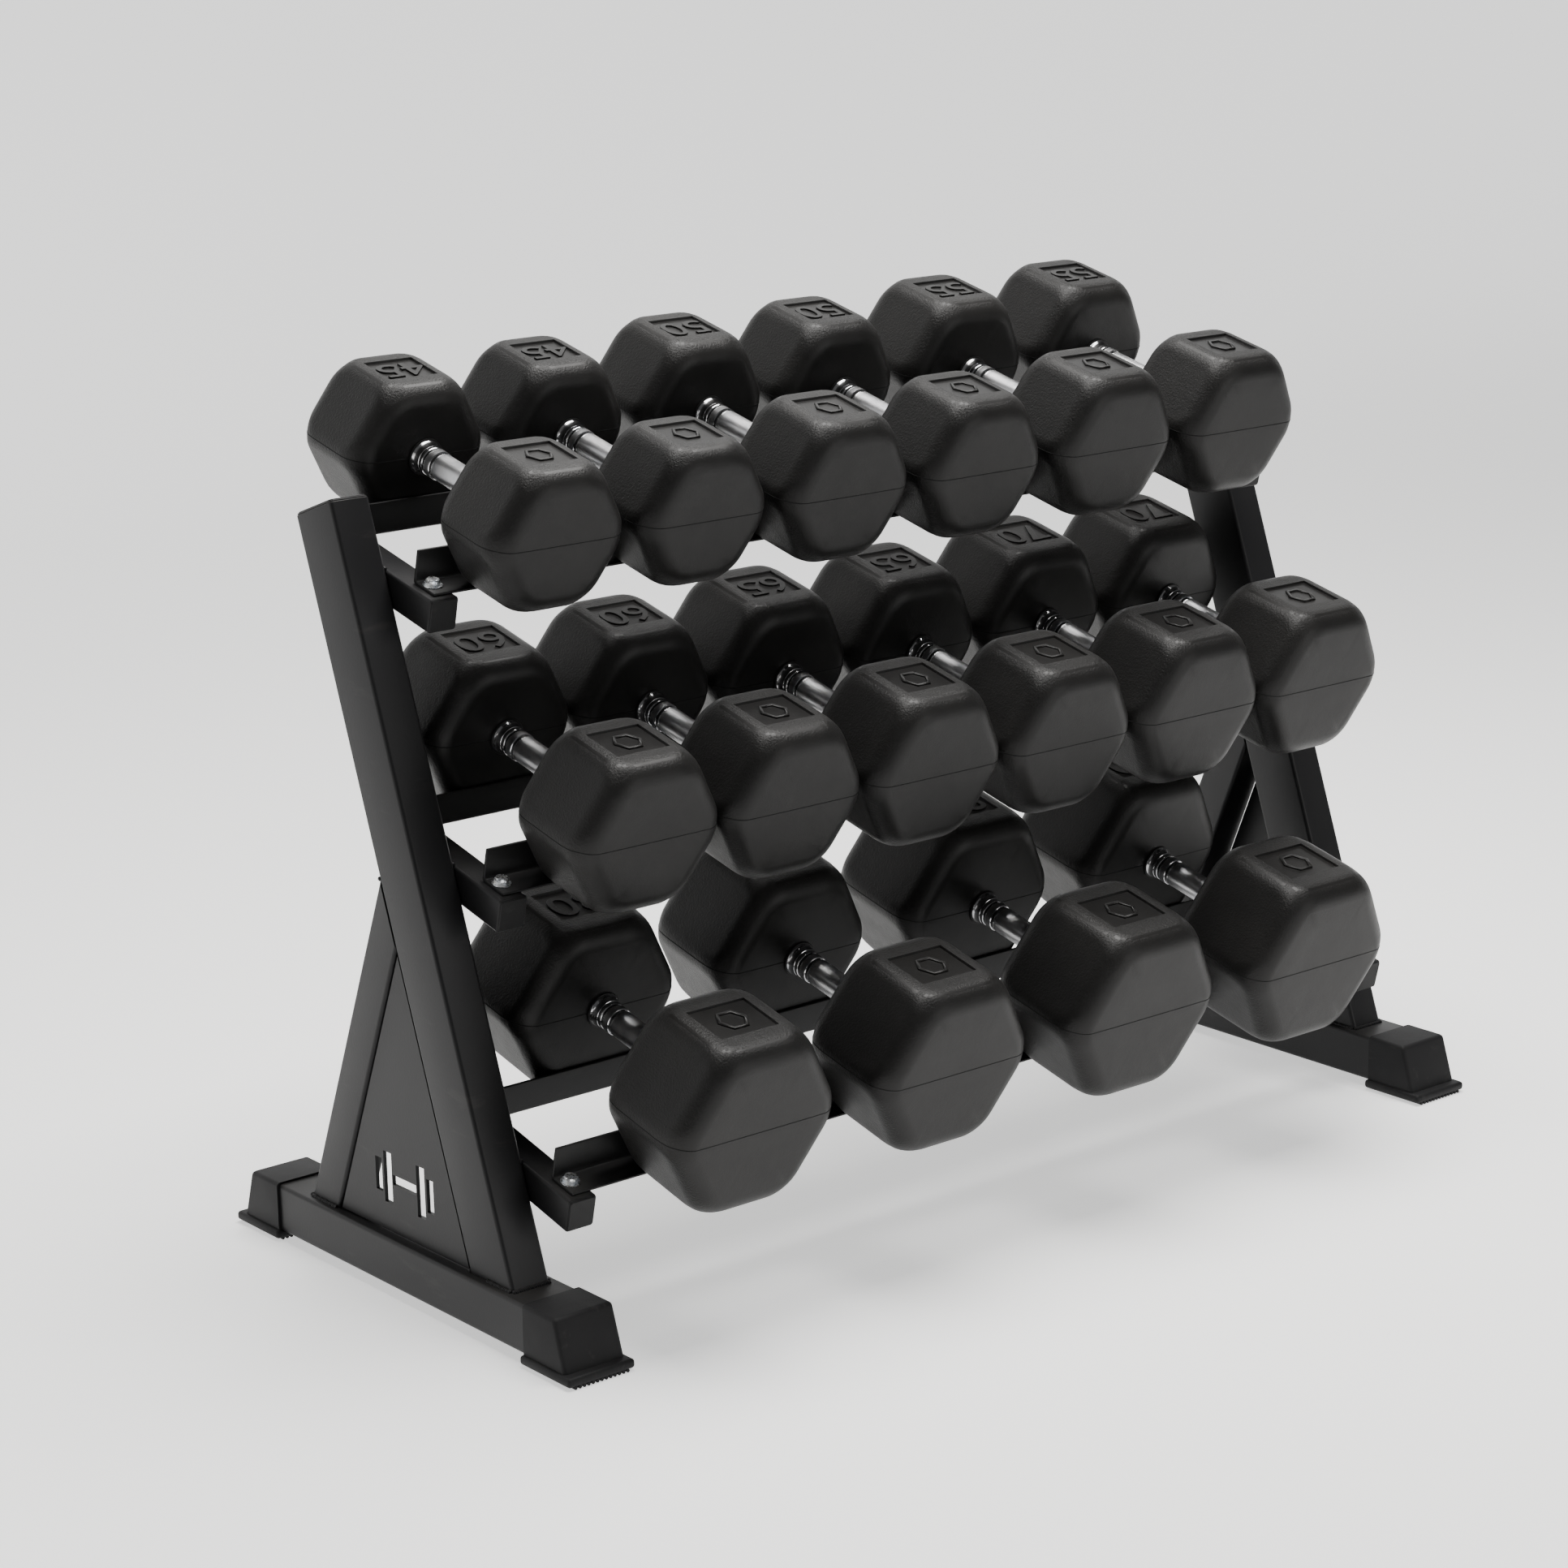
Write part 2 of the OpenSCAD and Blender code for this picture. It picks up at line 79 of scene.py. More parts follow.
# ---- The studio ----
# A pale paper sweep under and behind the rack, a soft light overhead and two weak ones, in
# front and at the left. The paper glows with painted light, weaker near the rack as a painted shade round
# it.
SWEEP_HALF_WIDTH = 30.0
SWEEP_FRONT = -40.0
SWEEP_BACK = 7.0
SWEEP_BEND = 3.0
SWEEP_HEIGHT = 9.0
SWEEP_COLOUR = (0.90, 0.90, 0.895)
SWEEP_GLOW = 1.45
NEAR_RACK_SHADED_GLOW_SHARE = 0.64
GLOW_RISE = (1.0, 6.0)
WORLD_STRENGTH = 0.10
# each light: name, place, the point it faces, size across, power in watts, colour
LIGHTS = [
    ("overhead", (0.3, 0.0, 3.3), (0.0, 0.0, 0.4), 2.2, 212.0, (1.0, 0.985, 0.965)),
    ("front", (1.2, -4.8, 1.3), (0.1, 0.0, 0.5), 2.2, 50.0, (1.0, 0.985, 0.965)),
    ("left", (-4.2, 0.2, 0.9), (0.0, 0.0, 0.5), 1.8, 14.0, (1.0, 0.965, 0.935)),
]


class Wire:
    """One output of a node, that can be used in sums with numbers and other wires."""

    def __init__(self, tree, socket):
        self.tree = tree
        self.socket = socket

    def sum_of(self, operation, *values):
        node = self.tree.nodes.new("ShaderNodeMath")
        node.operation = operation
        for place, value in enumerate(values):
            plug(self.tree, node.inputs[place], value)
        return Wire(self.tree, node.outputs[0])

    def __add__(self, other):
        return self.sum_of("ADD", self, other)

    def __radd__(self, other):
        return self.sum_of("ADD", other, self)

    def __sub__(self, other):
        return self.sum_of("SUBTRACT", self, other)

    def __rsub__(self, other):
        return self.sum_of("SUBTRACT", other, self)

    def __mul__(self, other):
        return self.sum_of("MULTIPLY", self, other)

    def __rmul__(self, other):
        return self.sum_of("MULTIPLY", other, self)

    def __truediv__(self, other):
        return self.sum_of("DIVIDE", self, other)

    def __pow__(self, other):
        return self.sum_of("POWER", self, other)

    def __abs__(self):
        return self.sum_of("ABSOLUTE", self)

    def step(self, low, high):
        """0 below low, 1 above high and smooth between."""
        return make(self.tree, "ShaderNodeMapRange", {"interpolation_type": "SMOOTHSTEP"},
                    Value=self, From_Min=low, From_Max=high)["Result"]


def plug(tree, socket, value):
    """Links a wire to a socket, or sets the socket to a plain value."""
    if isinstance(value, Wire):
        tree.links.new(value.socket, socket)
    else:
        socket.default_value = value


def make(tree, kind, settings=None, **values):
    """A new node's outputs by name. Settings come first, then its inputs, with _ for a space."""
    node = tree.nodes.new(kind)
    for name, value in (settings or {}).items():
        if name == "stops":
            set_stops(node.color_ramp, value)
        else:
            setattr(node, name, value)
    for name, value in values.items():
        title = name.replace("_", " ")
        socket = next(s for s in node.inputs
                      if s.enabled and (s.name in (name, title) or s.identifier == name))
        plug(tree, socket, value)
    return {s.name: Wire(tree, s) for s in node.outputs if s.enabled}


def set_stops(colour_ramp, stops):
    """Sets a ramp's stops, each a position and a colour."""
    while len(colour_ramp.elements) < len(stops):
        colour_ramp.elements.new(0.5)
    for element, (position, colour) in zip(colour_ramp.elements, stops):
        element.position = position
        element.color = (*colour, 1.0)


def new_finish(name):
    """A material with an empty tree, and the place its patterns are read at."""
    material = bpy.data.materials.new(name)
    material.use_nodes = True
    tree = material.node_tree
    tree.nodes.clear()
    place = make(tree, "ShaderNodeTexCoord")["Object"]
    return material, tree, place


def end_finish(tree, **values):
    """The surface shader, with its inputs, and the tree's output."""
    shader = make(tree, "ShaderNodeBsdfPrincipled", None, **values)["BSDF"]
    make(tree, "ShaderNodeOutputMaterial", None, Surface=shader)


def noise(tree, place, scale, detail=2.0, roughness=0.5):
    """Plain noise from 0 to 1, in bumps of about 1 / scale metres."""
    return make(tree, "ShaderNodeTexNoise", None, Vector=place, Scale=scale, Detail=detail,
                Roughness=roughness)["Fac"]


def bump(tree, height, distance, strength=1.0):
    """A surface normal from a height field."""
    return make(tree, "ShaderNodeBump", None, Strength=strength, Distance=distance, Height=height)["Normal"]


def mesh_object(name, points, faces):
    """A new object from points and faces, standing at the origin."""
    mesh = bpy.data.meshes.new(name)
    mesh.from_pydata([tuple(p) for p in points], [], faces)
    mesh.validate()
    piece = new_object(name, mesh)
    for polygon in mesh.polygons:
        polygon.use_smooth = True
    return piece


sweep_rows = [(SWEEP_FRONT, 0.0), (0.0, 0.0), (SWEEP_BACK - SWEEP_BEND, 0.0)]
for step in range(1, 13):
    angle = math.radians(90 * step / 12)
    sweep_rows.append((SWEEP_BACK - SWEEP_BEND + SWEEP_BEND * math.sin(angle),
                       SWEEP_BEND - SWEEP_BEND * math.cos(angle)))
sweep_rows.append((SWEEP_BACK, SWEEP_HEIGHT))
sweep_points = [(x, y, z) for y, z in sweep_rows for x in (-SWEEP_HALF_WIDTH, SWEEP_HALF_WIDTH)]
sweep_faces = [(2 * k, 2 * k + 1, 2 * k + 3, 2 * k + 2) for k in range(len(sweep_rows) - 1)]
sweep = mesh_object("sweep", sweep_points, sweep_faces)
paper, tree, place = new_finish("paper")
# painted light: the paper's glow, dimmed near the rack as painted shade round it and full behind it
behind = make(tree, "ShaderNodeSeparateXYZ", None, Vector=place)["Y"].step(*GLOW_RISE)
glow = make(tree, "ShaderNodeMix", {"data_type": "RGBA"}, Factor=behind,
            A=(*(c * NEAR_RACK_SHADED_GLOW_SHARE for c in SWEEP_COLOUR), 1.0), B=(*SWEEP_COLOUR, 1.0))["Result"]
end_finish(tree, Base_Color=(*SWEEP_COLOUR, 1.0), Roughness=0.9, Specular_IOR_Level=0.2,
           Emission_Color=glow, Emission_Strength=SWEEP_GLOW)
sweep.data.materials.append(paper)
# the glow stays out of the diffuse light on the rack, or it would wash out the black coats
sweep.visible_diffuse = False

world = bpy.data.worlds.new("studio")
world.use_nodes = True
world.node_tree.nodes["Background"].inputs[0].default_value = (1.0, 1.0, 1.0, 1.0)
world.node_tree.nodes["Background"].inputs[1].default_value = WORLD_STRENGTH
bpy.context.scene.world = world
for name, spot, aim, size, power, colour in LIGHTS:
    light_data = bpy.data.lights.new(name, "AREA")
    light_data.size = size
    light_data.energy = power
    light_data.color = colour
    light = new_object(name, light_data)
    light.matrix_world = Matrix.Translation(spot) @ (
        Vector(spot) - Vector(aim)).to_track_quat("Z", "Y").to_matrix().to_4x4()


# ---- Side frames: base tubes, posts and braces ----
# Rolled steel box sections with rounded corners, sawn to length, welded up and powder coated
# satin black. The coat shows a fine orange peel, and is thin and a little paler on the edges.
TUBE_CORNER = 0.0042
ARM_CORNER = 0.0030
SAWN_EDGE = 0.0005
CORNER_STEPS = 6
COAT_BODY = (0.0135, 0.0135, 0.0145)
COAT_WORN = (0.044, 0.042, 0.040)
COAT_DUST = (0.036, 0.034, 0.031)


def powder_coat(name, body=COAT_BODY, rough=0.40):
    """Satin black powder coat: orange peel, faint dust and handling marks."""
    material, tree, place = new_finish(name)
    broad = noise(tree, place, 7.0, 4.0, 0.6)
    smears = noise(tree, make(tree, "ShaderNodeMapping", None, Vector=place,
                              Scale=(9.0, 9.0, 38.0))["Vector"], 1.0, 5.0, 0.62)
    peel = noise(tree, place, 420.0, 2.0, 0.45)
    grit = noise(tree, place, 1500.0, 1.0, 0.5)
    upward = make(tree, "ShaderNodeSeparateXYZ", None,
                  Vector=make(tree, "ShaderNodeNewGeometry")["Normal"])["Z"].step(0.35, 0.95)
    dust = upward * broad.step(0.35, 0.75) * 0.55
    rubbed = smears.step(0.60, 0.74) * 0.30
    colour = make(tree, "ShaderNodeMix", {"data_type": "RGBA"}, Factor=dust,
                  A=(*body, 1.0), B=(*COAT_DUST, 1.0))["Result"]
    colour = make(tree, "ShaderNodeMix", {"data_type": "RGBA"}, Factor=rubbed,
                  A=colour, B=(*COAT_WORN, 1.0))["Result"]
    end_finish(tree, Base_Color=colour, Roughness=rough + (broad - 0.5) * 0.12 + dust * 0.2 - rubbed * 0.15,
               Specular_IOR_Level=0.23, Normal=bump(tree, peel * 0.8 + grit * 0.2, 0.00010, 0.9))
    return material


def rounded_section(half_u, half_v, corner):
    """The outline of a rounded rectangle, anticlockwise."""
    outline = []
    for quarter, (su, sv) in enumerate(((1, 1), (-1, 1), (-1, -1), (1, -1))):
        for step in range(CORNER_STEPS + 1):
            angle = math.pi / 2 * (quarter + step / CORNER_STEPS)
            outline.append((su * (half_u - corner) + corner * math.cos(angle),
                            sv * (half_v - corner) + corner * math.sin(angle)))
    return outline


def ringed_solid(name, points, ring, angle):
    """A closed solid of equal rings of points. Edges sharper than the angle stay sharp."""
    last = len(points) - ring
    faces = [tuple(reversed(range(ring))), tuple(range(last, last + ring))]
    for start in range(0, last, ring):
        for k in range(ring):
            after = (k + 1) % ring
            faces.append((start + k, start + after, start + ring + after, start + ring + k))
    piece = mesh_object(name, points, faces)
    soften(piece, angle)
    return piece


def sawn_tube(name, centre, along, across, size_u, size_v, corner, low_cut, high_cut):
    """A closed bar of rounded section. Each cut is a point and a normal of the sawn end."""
    along = along.normalized()
    u = across.normalized()
    v = along.cross(u)
    points = []
    for cut, inset, edge in ((low_cut, SAWN_EDGE, 0), (low_cut, 0.0, SAWN_EDGE),
                             (high_cut, 0.0, -SAWN_EDGE), (high_cut, SAWN_EDGE, 0)):
        spot, normal = cut
        for a, b in rounded_section(size_u / 2 - inset, size_v / 2 - inset, corner - inset):
            start = centre + a * u + b * v
            reach = (spot - start).dot(normal) / along.dot(normal)
            points.append(start + along * (reach + edge))
    return ringed_solid(name, points, 4 * (CORNER_STEPS + 1), 35.0)


def soften(piece, angle):
    """Turns faces outwards and keeps edges sharper than the angle sharp."""
    work = bmesh.new()
    work.from_mesh(piece.data)
    bmesh.ops.recalc_face_normals(work, faces=work.faces)
    for edge in work.edges:
        if len(edge.link_faces) == 2 and edge.calc_face_angle() > math.radians(angle):
            edge.smooth = False
    work.to_mesh(piece.data)
    work.free()


def stand_for(piece, body, slot, finish, *nodes):
    """Gives a finished piece its material if it has none, sets it under its body and hides the parts it
    stands for.
    """
    if not piece.data.materials:
        piece.data.materials.append(finish)
    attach(piece, body)
    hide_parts(*nodes)


black_coat = powder_coat("black_powder_coat")
UP = Vector((0, 0, 1))
RIGHT = Vector((1, 0, 0))
BACK = Vector((0, 1, 0))
POST_LEAN = math.radians(19)
BRACE_LEAN = math.radians(23)
POST_WIDTH = 0.045
POST_DEPTH = 0.070
BRACE_DEPTH = 0.048
SIDES = (("left", -1), ("right", 1))
side_frames = {}
for side, sign in SIDES:
    low, high = (Vector(p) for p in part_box(f"base_tube_{side}"))
    middle = (low + high) / 2
    tube = sawn_tube(f"base_{side}", middle, BACK, RIGHT, high.x - low.x, high.z - low.z, TUBE_CORNER,
                     (low, BACK), (high, BACK))
    stand_for(tube, "rack", "powder_coat", black_coat, f"base_tube_{side}")

    low, high = (Vector(p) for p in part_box(f"post_{side}"))
    post_up = Vector((0, math.sin(POST_LEAN), math.cos(POST_LEAN)))
    post_back = Vector((0, math.cos(POST_LEAN), -math.sin(POST_LEAN)))
    foot = Vector(((low.x + high.x) / 2, low.y, low.z))
    length = (high.z - low.z) / math.cos(POST_LEAN)
    top = foot + post_up * length
    post = sawn_tube(f"leaning_post_{side}", foot + post_back * POST_DEPTH / 2, post_up, RIGHT,
                     POST_WIDTH, POST_DEPTH, TUBE_CORNER, (foot, UP), (top, post_up))
    stand_for(post, "rack", "powder_coat", black_coat, f"post_{side}")
    side_frames[side] = {"x": foot.x, "post_foot": foot, "post_top": top, "base_top": low.z}

    low, high = (Vector(p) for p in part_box(f"brace_{side}"))
    brace_up = Vector((0, -math.sin(BRACE_LEAN), math.cos(BRACE_LEAN)))
    brace_back = Vector((0, math.cos(BRACE_LEAN), math.sin(BRACE_LEAN)))
    rear_foot = Vector(((low.x + high.x) / 2, high.y, low.z))
    brace = sawn_tube(f"rear_brace_{side}", rear_foot - brace_back * BRACE_DEPTH / 2, brace_up, RIGHT,
                      POST_WIDTH, BRACE_DEPTH, TUBE_CORNER, (rear_foot, UP),
                      (foot + post_back * POST_DEPTH, post_back))
    stand_for(brace, "rack", "powder_coat", black_coat, f"brace_{side}")
    side_frames[side]["brace_foot"] = rear_foot


# ---- Gusset plates ----
# A flat steel plate set into the triangle between post, brace and base tube, flush but for a
# thin dark joint all round. Its cut-out is a plain dumbbell sign. It wears the same black coat.
for side in ("left", "right"):
    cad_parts[f"gusset_{side}"].material_slots[0].material = black_coat


# ---- Arms and their end plugs ----
# Six short square tubes welded to the inner faces of the posts, sloping down to the front.
# A moulded plug with a thin flange closes each end.
ARM_WIDTH = 0.033
ARM_HEIGHT = 0.035
ARM_LENGTH = 0.205
PLUG_FLANGE = 0.0024
PLUG_EDGE = 0.0012
PLUG_SHORT_OF_ARM = 0.0006
PLUG_DEPTH = 0.004
TILT = math.radians(14)
TIERS = (("top", 6), ("middle", 6), ("bottom", 4))
tier_back = Vector((0, math.cos(TILT), math.sin(TILT)))
tier_up = Vector((0, -math.sin(TILT), math.cos(TILT)))


def moulded_plastic(name, body=(0.016, 0.016, 0.0165), rough=0.52):
    """Black moulded plastic: fine spark texture, slightly scuffed."""
    material, tree, place = new_finish(name)
    grain = noise(tree, place, 950.0, 3.0, 0.6)
    scuffs = noise(tree, make(tree, "ShaderNodeMapping", None, Vector=place,
                              Scale=(60.0, 14.0, 60.0))["Vector"], 1.0, 4.0, 0.6).step(0.58, 0.80)
    patches = noise(tree, place, 16.0, 3.0, 0.55)
    colour = make(tree, "ShaderNodeMix", {"data_type": "RGBA"}, Factor=scuffs * 0.45,
                  A=(*body, 1.0), B=(0.055, 0.054, 0.052, 1.0))["Result"]
    end_finish(tree, Base_Color=colour, Roughness=rough + (patches - 0.5) * 0.2 + scuffs * 0.1,
               Specular_IOR_Level=0.24, Normal=bump(tree, grain, 0.00016, 0.8))
    return material


def joined(name, pieces):
    """One object from several, with their materials kept."""
    work = bmesh.new()
    mesh = bpy.data.meshes.new(name)
    for piece in pieces:
        start = len(mesh.materials)
        for material in piece.data.materials:
            mesh.materials.append(material)
        part = piece.data.copy()
        for polygon in part.polygons:
            polygon.material_index += start
        work.from_mesh(part)
        bpy.data.meshes.remove(part)
        bpy.data.objects.remove(piece)
    work.to_mesh(mesh)
    work.free()
    result = bpy.data.objects.new(name, mesh)
    bpy.context.scene.collection.objects.link(result)
    return result


black_plastic = moulded_plastic("black_moulded_plastic")
tiers = {}
plugs = []
for tier, count in TIERS:
    for side, sign in SIDES:
        low, high = (Vector(p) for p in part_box(f"arm_{tier}_{side}"))
        front_top = Vector(((low.x + high.x) / 2, low.y, low.z + ARM_HEIGHT * math.cos(TILT)))
        axis = front_top - tier_up * ARM_HEIGHT / 2
        arm = sawn_tube(f"{tier}_arm_{side}", axis, tier_back, RIGHT, ARM_WIDTH, ARM_HEIGHT, ARM_CORNER,
                        (axis, tier_back), (axis + tier_back * ARM_LENGTH, tier_back))
        stand_for(arm, "rack", "powder_coat", black_coat, f"arm_{tier}_{side}")
        for end, outward in ((axis, -tier_back), (axis + tier_back * ARM_LENGTH, tier_back)):
            plug_piece = sawn_tube("plug", end, outward, RIGHT, ARM_WIDTH - PLUG_SHORT_OF_ARM,
                                   ARM_HEIGHT - PLUG_SHORT_OF_ARM, ARM_CORNER,
                                   (end - outward * PLUG_DEPTH, outward),
                                   (end + outward * (PLUG_FLANGE - PLUG_EDGE), outward))
            crown = sawn_tube("plug_crown", end, outward, RIGHT, ARM_WIDTH - 2 * PLUG_EDGE,
                              ARM_HEIGHT - 2 * PLUG_EDGE, ARM_CORNER, (end, outward),
                              (end + outward * PLUG_FLANGE, outward))
            plugs += [plug_piece, crown]
        tiers[tier, side] = front_top
    tiers[tier] = Vector((0, tiers[tier, "left"].y, tiers[tier, "left"].z))
plug_group = joined("arm_end_plugs", plugs)
stand_for(plug_group, "rack", "black_plastic", black_plastic, "arm_plugs")


# ---- Post caps ----
# A flat moulded cap pressed into the sawn top of each post.
CAP_THICKNESS = 0.003
CAP_RIM = 0.0006
CAP_CROWN_RIM = 0.0018
CAP_STEP = 0.0018
caps = []
for side, sign in SIDES:
    corner = side_frames[side]["post_top"]
    top_middle = corner + post_back * POST_DEPTH / 2
    for inset, height in ((CAP_RIM, CAP_STEP), (CAP_CROWN_RIM, CAP_THICKNESS)):
        caps.append(sawn_tube("cap", top_middle, post_up, RIGHT, POST_WIDTH - 2 * inset,
                              POST_DEPTH - 2 * inset, TUBE_CORNER, (top_middle, post_up),
                              (top_middle + post_up * height, post_up)))
cap_group = joined("post_top_caps", caps)
stand_for(cap_group, "rack", "black_plastic", black_plastic, "post_caps")


# ---- Feet ----
# A moulded boot over each end of the base tubes, with a wider sole. The sole's front lip is
# round, and ribs under it grip the floor.
SOLE_HEIGHT = 0.0125
SOLE_EDGE = 0.0038
BOOT_EDGE = 0.0045
SOLE_MARGIN = 0.0038
BOOT_LOW = 0.006
BOOT_TOE = 0.010
BOOT_SLOPE_END = 0.028
BOOT_HEEL = 0.003
BOOT_TAPER = 0.0006
RIB_PITCH = 0.0052
RIB_RADIUS = 0.0019
RIB_HALF_LENGTH = 0.0395
RIB_MARGIN = 0.006
RIB_SHIFT = 0.001
TREAD_HEIGHT = 0.0026


def cut_block(name, corners, edge, sharp_y=None):
    """A solid with eight corners (four below, four above) and rounded edges.

    The edges of the side at sharp_y, if one is given, stay sharp.
    """
    faces = [(3, 2, 1, 0), (4, 5, 6, 7), (0, 1, 5, 4), (1, 2, 6, 5), (2, 3, 7, 6), (3, 0, 4, 7)]
    piece = mesh_object(name, corners, faces)
    work = bmesh.new()
    work.from_mesh(piece.data)
    bmesh.ops.recalc_face_normals(work, faces=work.faces)
    soft = [line for line in work.edges
            if sharp_y is None or any(abs(corner.co.y - sharp_y) > edge for corner in line.verts)]
    bmesh.ops.bevel(work, geom=soft, offset=edge, segments=4, profile=0.5,
                    affect="EDGES", clamp_overlap=True)
    work.to_mesh(piece.data)
    work.free()
    soften(piece, 40.0)
    return piece


def new_tree(name, **kinds):
    """A geometry tree and its inputs. Each input's kind is given under its name."""
    tree = bpy.data.node_groups.new(name, "GeometryNodeTree")
    for title, kind in kinds.items():
        tree.interface.new_socket(title, in_out="INPUT", socket_type=f"NodeSocket{kind}")
    tree.interface.new_socket("Geometry", in_out="OUTPUT", socket_type="NodeSocketGeometry")
    return tree, make(tree, "NodeGroupInput")


def end_tree(tree, shape, finish):
    """Makes a tree's shape real, gives it its finish and hands it out."""
    solid = make(tree, "GeometryNodeRealizeInstances", None, Geometry=shape)["Geometry"]
    painted = make(tree, "GeometryNodeSetMaterial", None, Geometry=solid, Material=finish)["Geometry"]
    make(tree, "NodeGroupOutput", None, Geometry=painted)
    return tree


def repeat_tree():
    """Sets copies of one shape at the vertices of a mesh, all turned the same way."""
    tree, given = new_tree("repeated_shape", Places="Geometry", Shape="Object", Turn="Vector",
                           Finish="Material")
    shape = make(tree, "GeometryNodeObjectInfo", None, Object=given["Shape"])
    copies = make(tree, "GeometryNodeInstanceOnPoints", None, Points=given["Places"],
                  Instance=shape["Geometry"], Rotation=given["Turn"])["Instances"]
    return end_tree(tree, copies, given["Finish"])


def plain_copy(name, source):
    """A plain mesh of a finished object's shape. The object itself is used up."""
    bpy.context.view_layer.update()
    ready = source.evaluated_get(bpy.context.evaluated_depsgraph_get())
    mesh = bpy.data.meshes.new_from_object(ready)
    bpy.data.objects.remove(source)
    mesh.name = name
    return new_object(name, mesh)


def grown(name, tree, carrier, **inputs):
    """The plain mesh that a node tree grows on a carrier mesh. The carrier is used up."""
    modifier = carrier.modifiers.new(name, "NODES")
    modifier.node_group = tree
    for item in tree.interface.items_tree:
        if item.in_out == "INPUT" and item.name in inputs:
            modifier[item.identifier] = inputs[item.name]
    return plain_copy(name, carrier)


repeated = repeat_tree()


def repeat(name, shape, places, finish, turn=(0.0, 0.0, 0.0)):
    """Copies of a shape at each place. The shape itself is used up."""
    carrier = mesh_object("places", places, [])
    piece = grown(name, repeated, carrier, Shape=shape, Turn=turn, Finish=finish)
    bpy.data.objects.remove(shape)
    return piece


def turned_shape(name, profile, segments, axis="Z"):
    """A closed solid turned round an axis. The profile is (radius, place along the axis)."""
    points = []
    for radius, along in profile:
        for k in range(segments):
            angle = 2 * math.pi * k / segments
            a, b = radius * math.cos(angle), radius * math.sin(angle)
            points.append((a, b, along) if axis == "Z" else (a, along, -b))
    return ringed_solid(name, points, segments, 30.0)


def boot_level(x, half_width, outer, inner, height):
    """Four corners of a boot at one height."""
    front, rear = sorted((outer, inner))
    return [(x - half_width, front, height), (x + half_width, front, height),
            (x + half_width, rear, height), (x - half_width, rear, height)]


boot_plastic = moulded_plastic("black_boot_plastic", (0.0085, 0.0085, 0.0092), 0.62)
for end, way in (("front", -1), ("rear", 1)):
    boots = []
    low, high = (Vector(p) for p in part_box(f"feet_{end}"))
    outer, inner = (low.y, high.y) if way < 0 else (high.y, low.y)
    heel = inner + way * BOOT_HEEL
    half_sole = high.x - side_frames["right"]["x"]
    half_boot = half_sole - SOLE_MARGIN
    for side, sign in SIDES:
        x = side_frames[side]["x"]
        sole = cut_block("sole", boot_level(x, half_sole, outer, inner, TREAD_HEIGHT)
                         + boot_level(x, half_sole, outer, inner, SOLE_HEIGHT), SOLE_EDGE)
        boot = cut_block(
            "boot", boot_level(x, half_boot, outer - way * BOOT_TOE, heel, BOOT_LOW)
            + boot_level(x, half_boot - BOOT_TAPER, outer - way * BOOT_SLOPE_END, heel, high.z),
            BOOT_EDGE, heel)
        for part in (sole, boot):
            part.data.materials.append(boot_plastic)
        rib_profile = [(RIB_RADIUS, -RIB_HALF_LENGTH), (RIB_RADIUS, RIB_HALF_LENGTH)]
        rib_y = (outer + inner) / 2 + way * RIB_SHIFT
        count = int((half_sole - RIB_MARGIN) / RIB_PITCH)
        rib_places = [(x + k * RIB_PITCH, rib_y, RIB_RADIUS) for k in range(-count, count + 1)]
        tread = repeat("tread", turned_shape("rib", rib_profile, 10, "Y"), rib_places, boot_plastic)
        boots += [sole, boot, tread]
    group = joined(f"boots_{end}", boots)
    stand_for(group, "rack", "black_plastic", boot_plastic, f"feet_{end}")


# ---- Angle rails ----
# Six hot-rolled angles with a rounded root and toes, lying across the arms. The flat legs
# carry the heads and the upright legs keep them apart.
RAIL_LEG = 0.036
RAIL_WALL = 0.003
RAIL_SETBACK = 0.0065
REAR_LEG_FRONT = 0.158
RAIL_HEEL = 0.0038
RAIL_ROOT = 0.0030
RAIL_TOE = 0.0012
RAIL_END_EDGE = 0.0006


def arc(centre, radius, first, last, steps=5):
    """Points on an arc, angles in degrees."""
    return [(centre[0] + radius * math.cos(math.radians(first + (last - first) * k / steps)),
             centre[1] + radius * math.sin(math.radians(first + (last - first) * k / steps)))
            for k in range(steps + 1)]


def angle_outline(inset):
    """The outline of an angle with its heel at the right, in (back, up)."""
    leg, wall = RAIL_LEG, RAIL_WALL
    toe = RAIL_TOE - inset
    heel = RAIL_HEEL - inset
    root = RAIL_ROOT + inset
    return (arc((leg - RAIL_HEEL, RAIL_HEEL), heel, -90, 0)
            + arc((leg - RAIL_TOE, leg - RAIL_TOE), toe, 0, 90)
            + arc((leg - wall + RAIL_TOE, leg - RAIL_TOE), toe, 90, 180)
            + arc((leg - wall - RAIL_ROOT, wall + RAIL_ROOT), root, 0, -90)
            + arc((RAIL_TOE, wall - RAIL_TOE), toe, 90, 180)
            + arc((RAIL_TOE, RAIL_TOE), toe, 180, 270))


rail_finish = powder_coat("rail_powder_coat", (0.020, 0.020, 0.0205), 0.42)
for tier, count in TIERS:
    for end in ("front", "rear"):
        node_low, node_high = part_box(f"rail_{tier}_{end}")
        points = []
        for x, inset in ((node_low[0], RAIL_END_EDGE), (node_low[0] + RAIL_END_EDGE, 0.0),
                         (node_high[0] - RAIL_END_EDGE, 0.0), (node_high[0], RAIL_END_EDGE)):
            for back, up in angle_outline(inset):
                if end == "front":
                    back = RAIL_SETBACK + back
                else:
                    back = REAR_LEG_FRONT + RAIL_LEG - back
                points.append(tiers[tier] + Vector((x, 0, 0)) + tier_back * back + tier_up * up)
        rail = ringed_solid(f"{tier}_rail_{end}", points, len(angle_outline(0.0)), 40.0)
        stand_for(rail, "rack", "powder_coat", rail_finish, f"rail_{tier}_{end}")


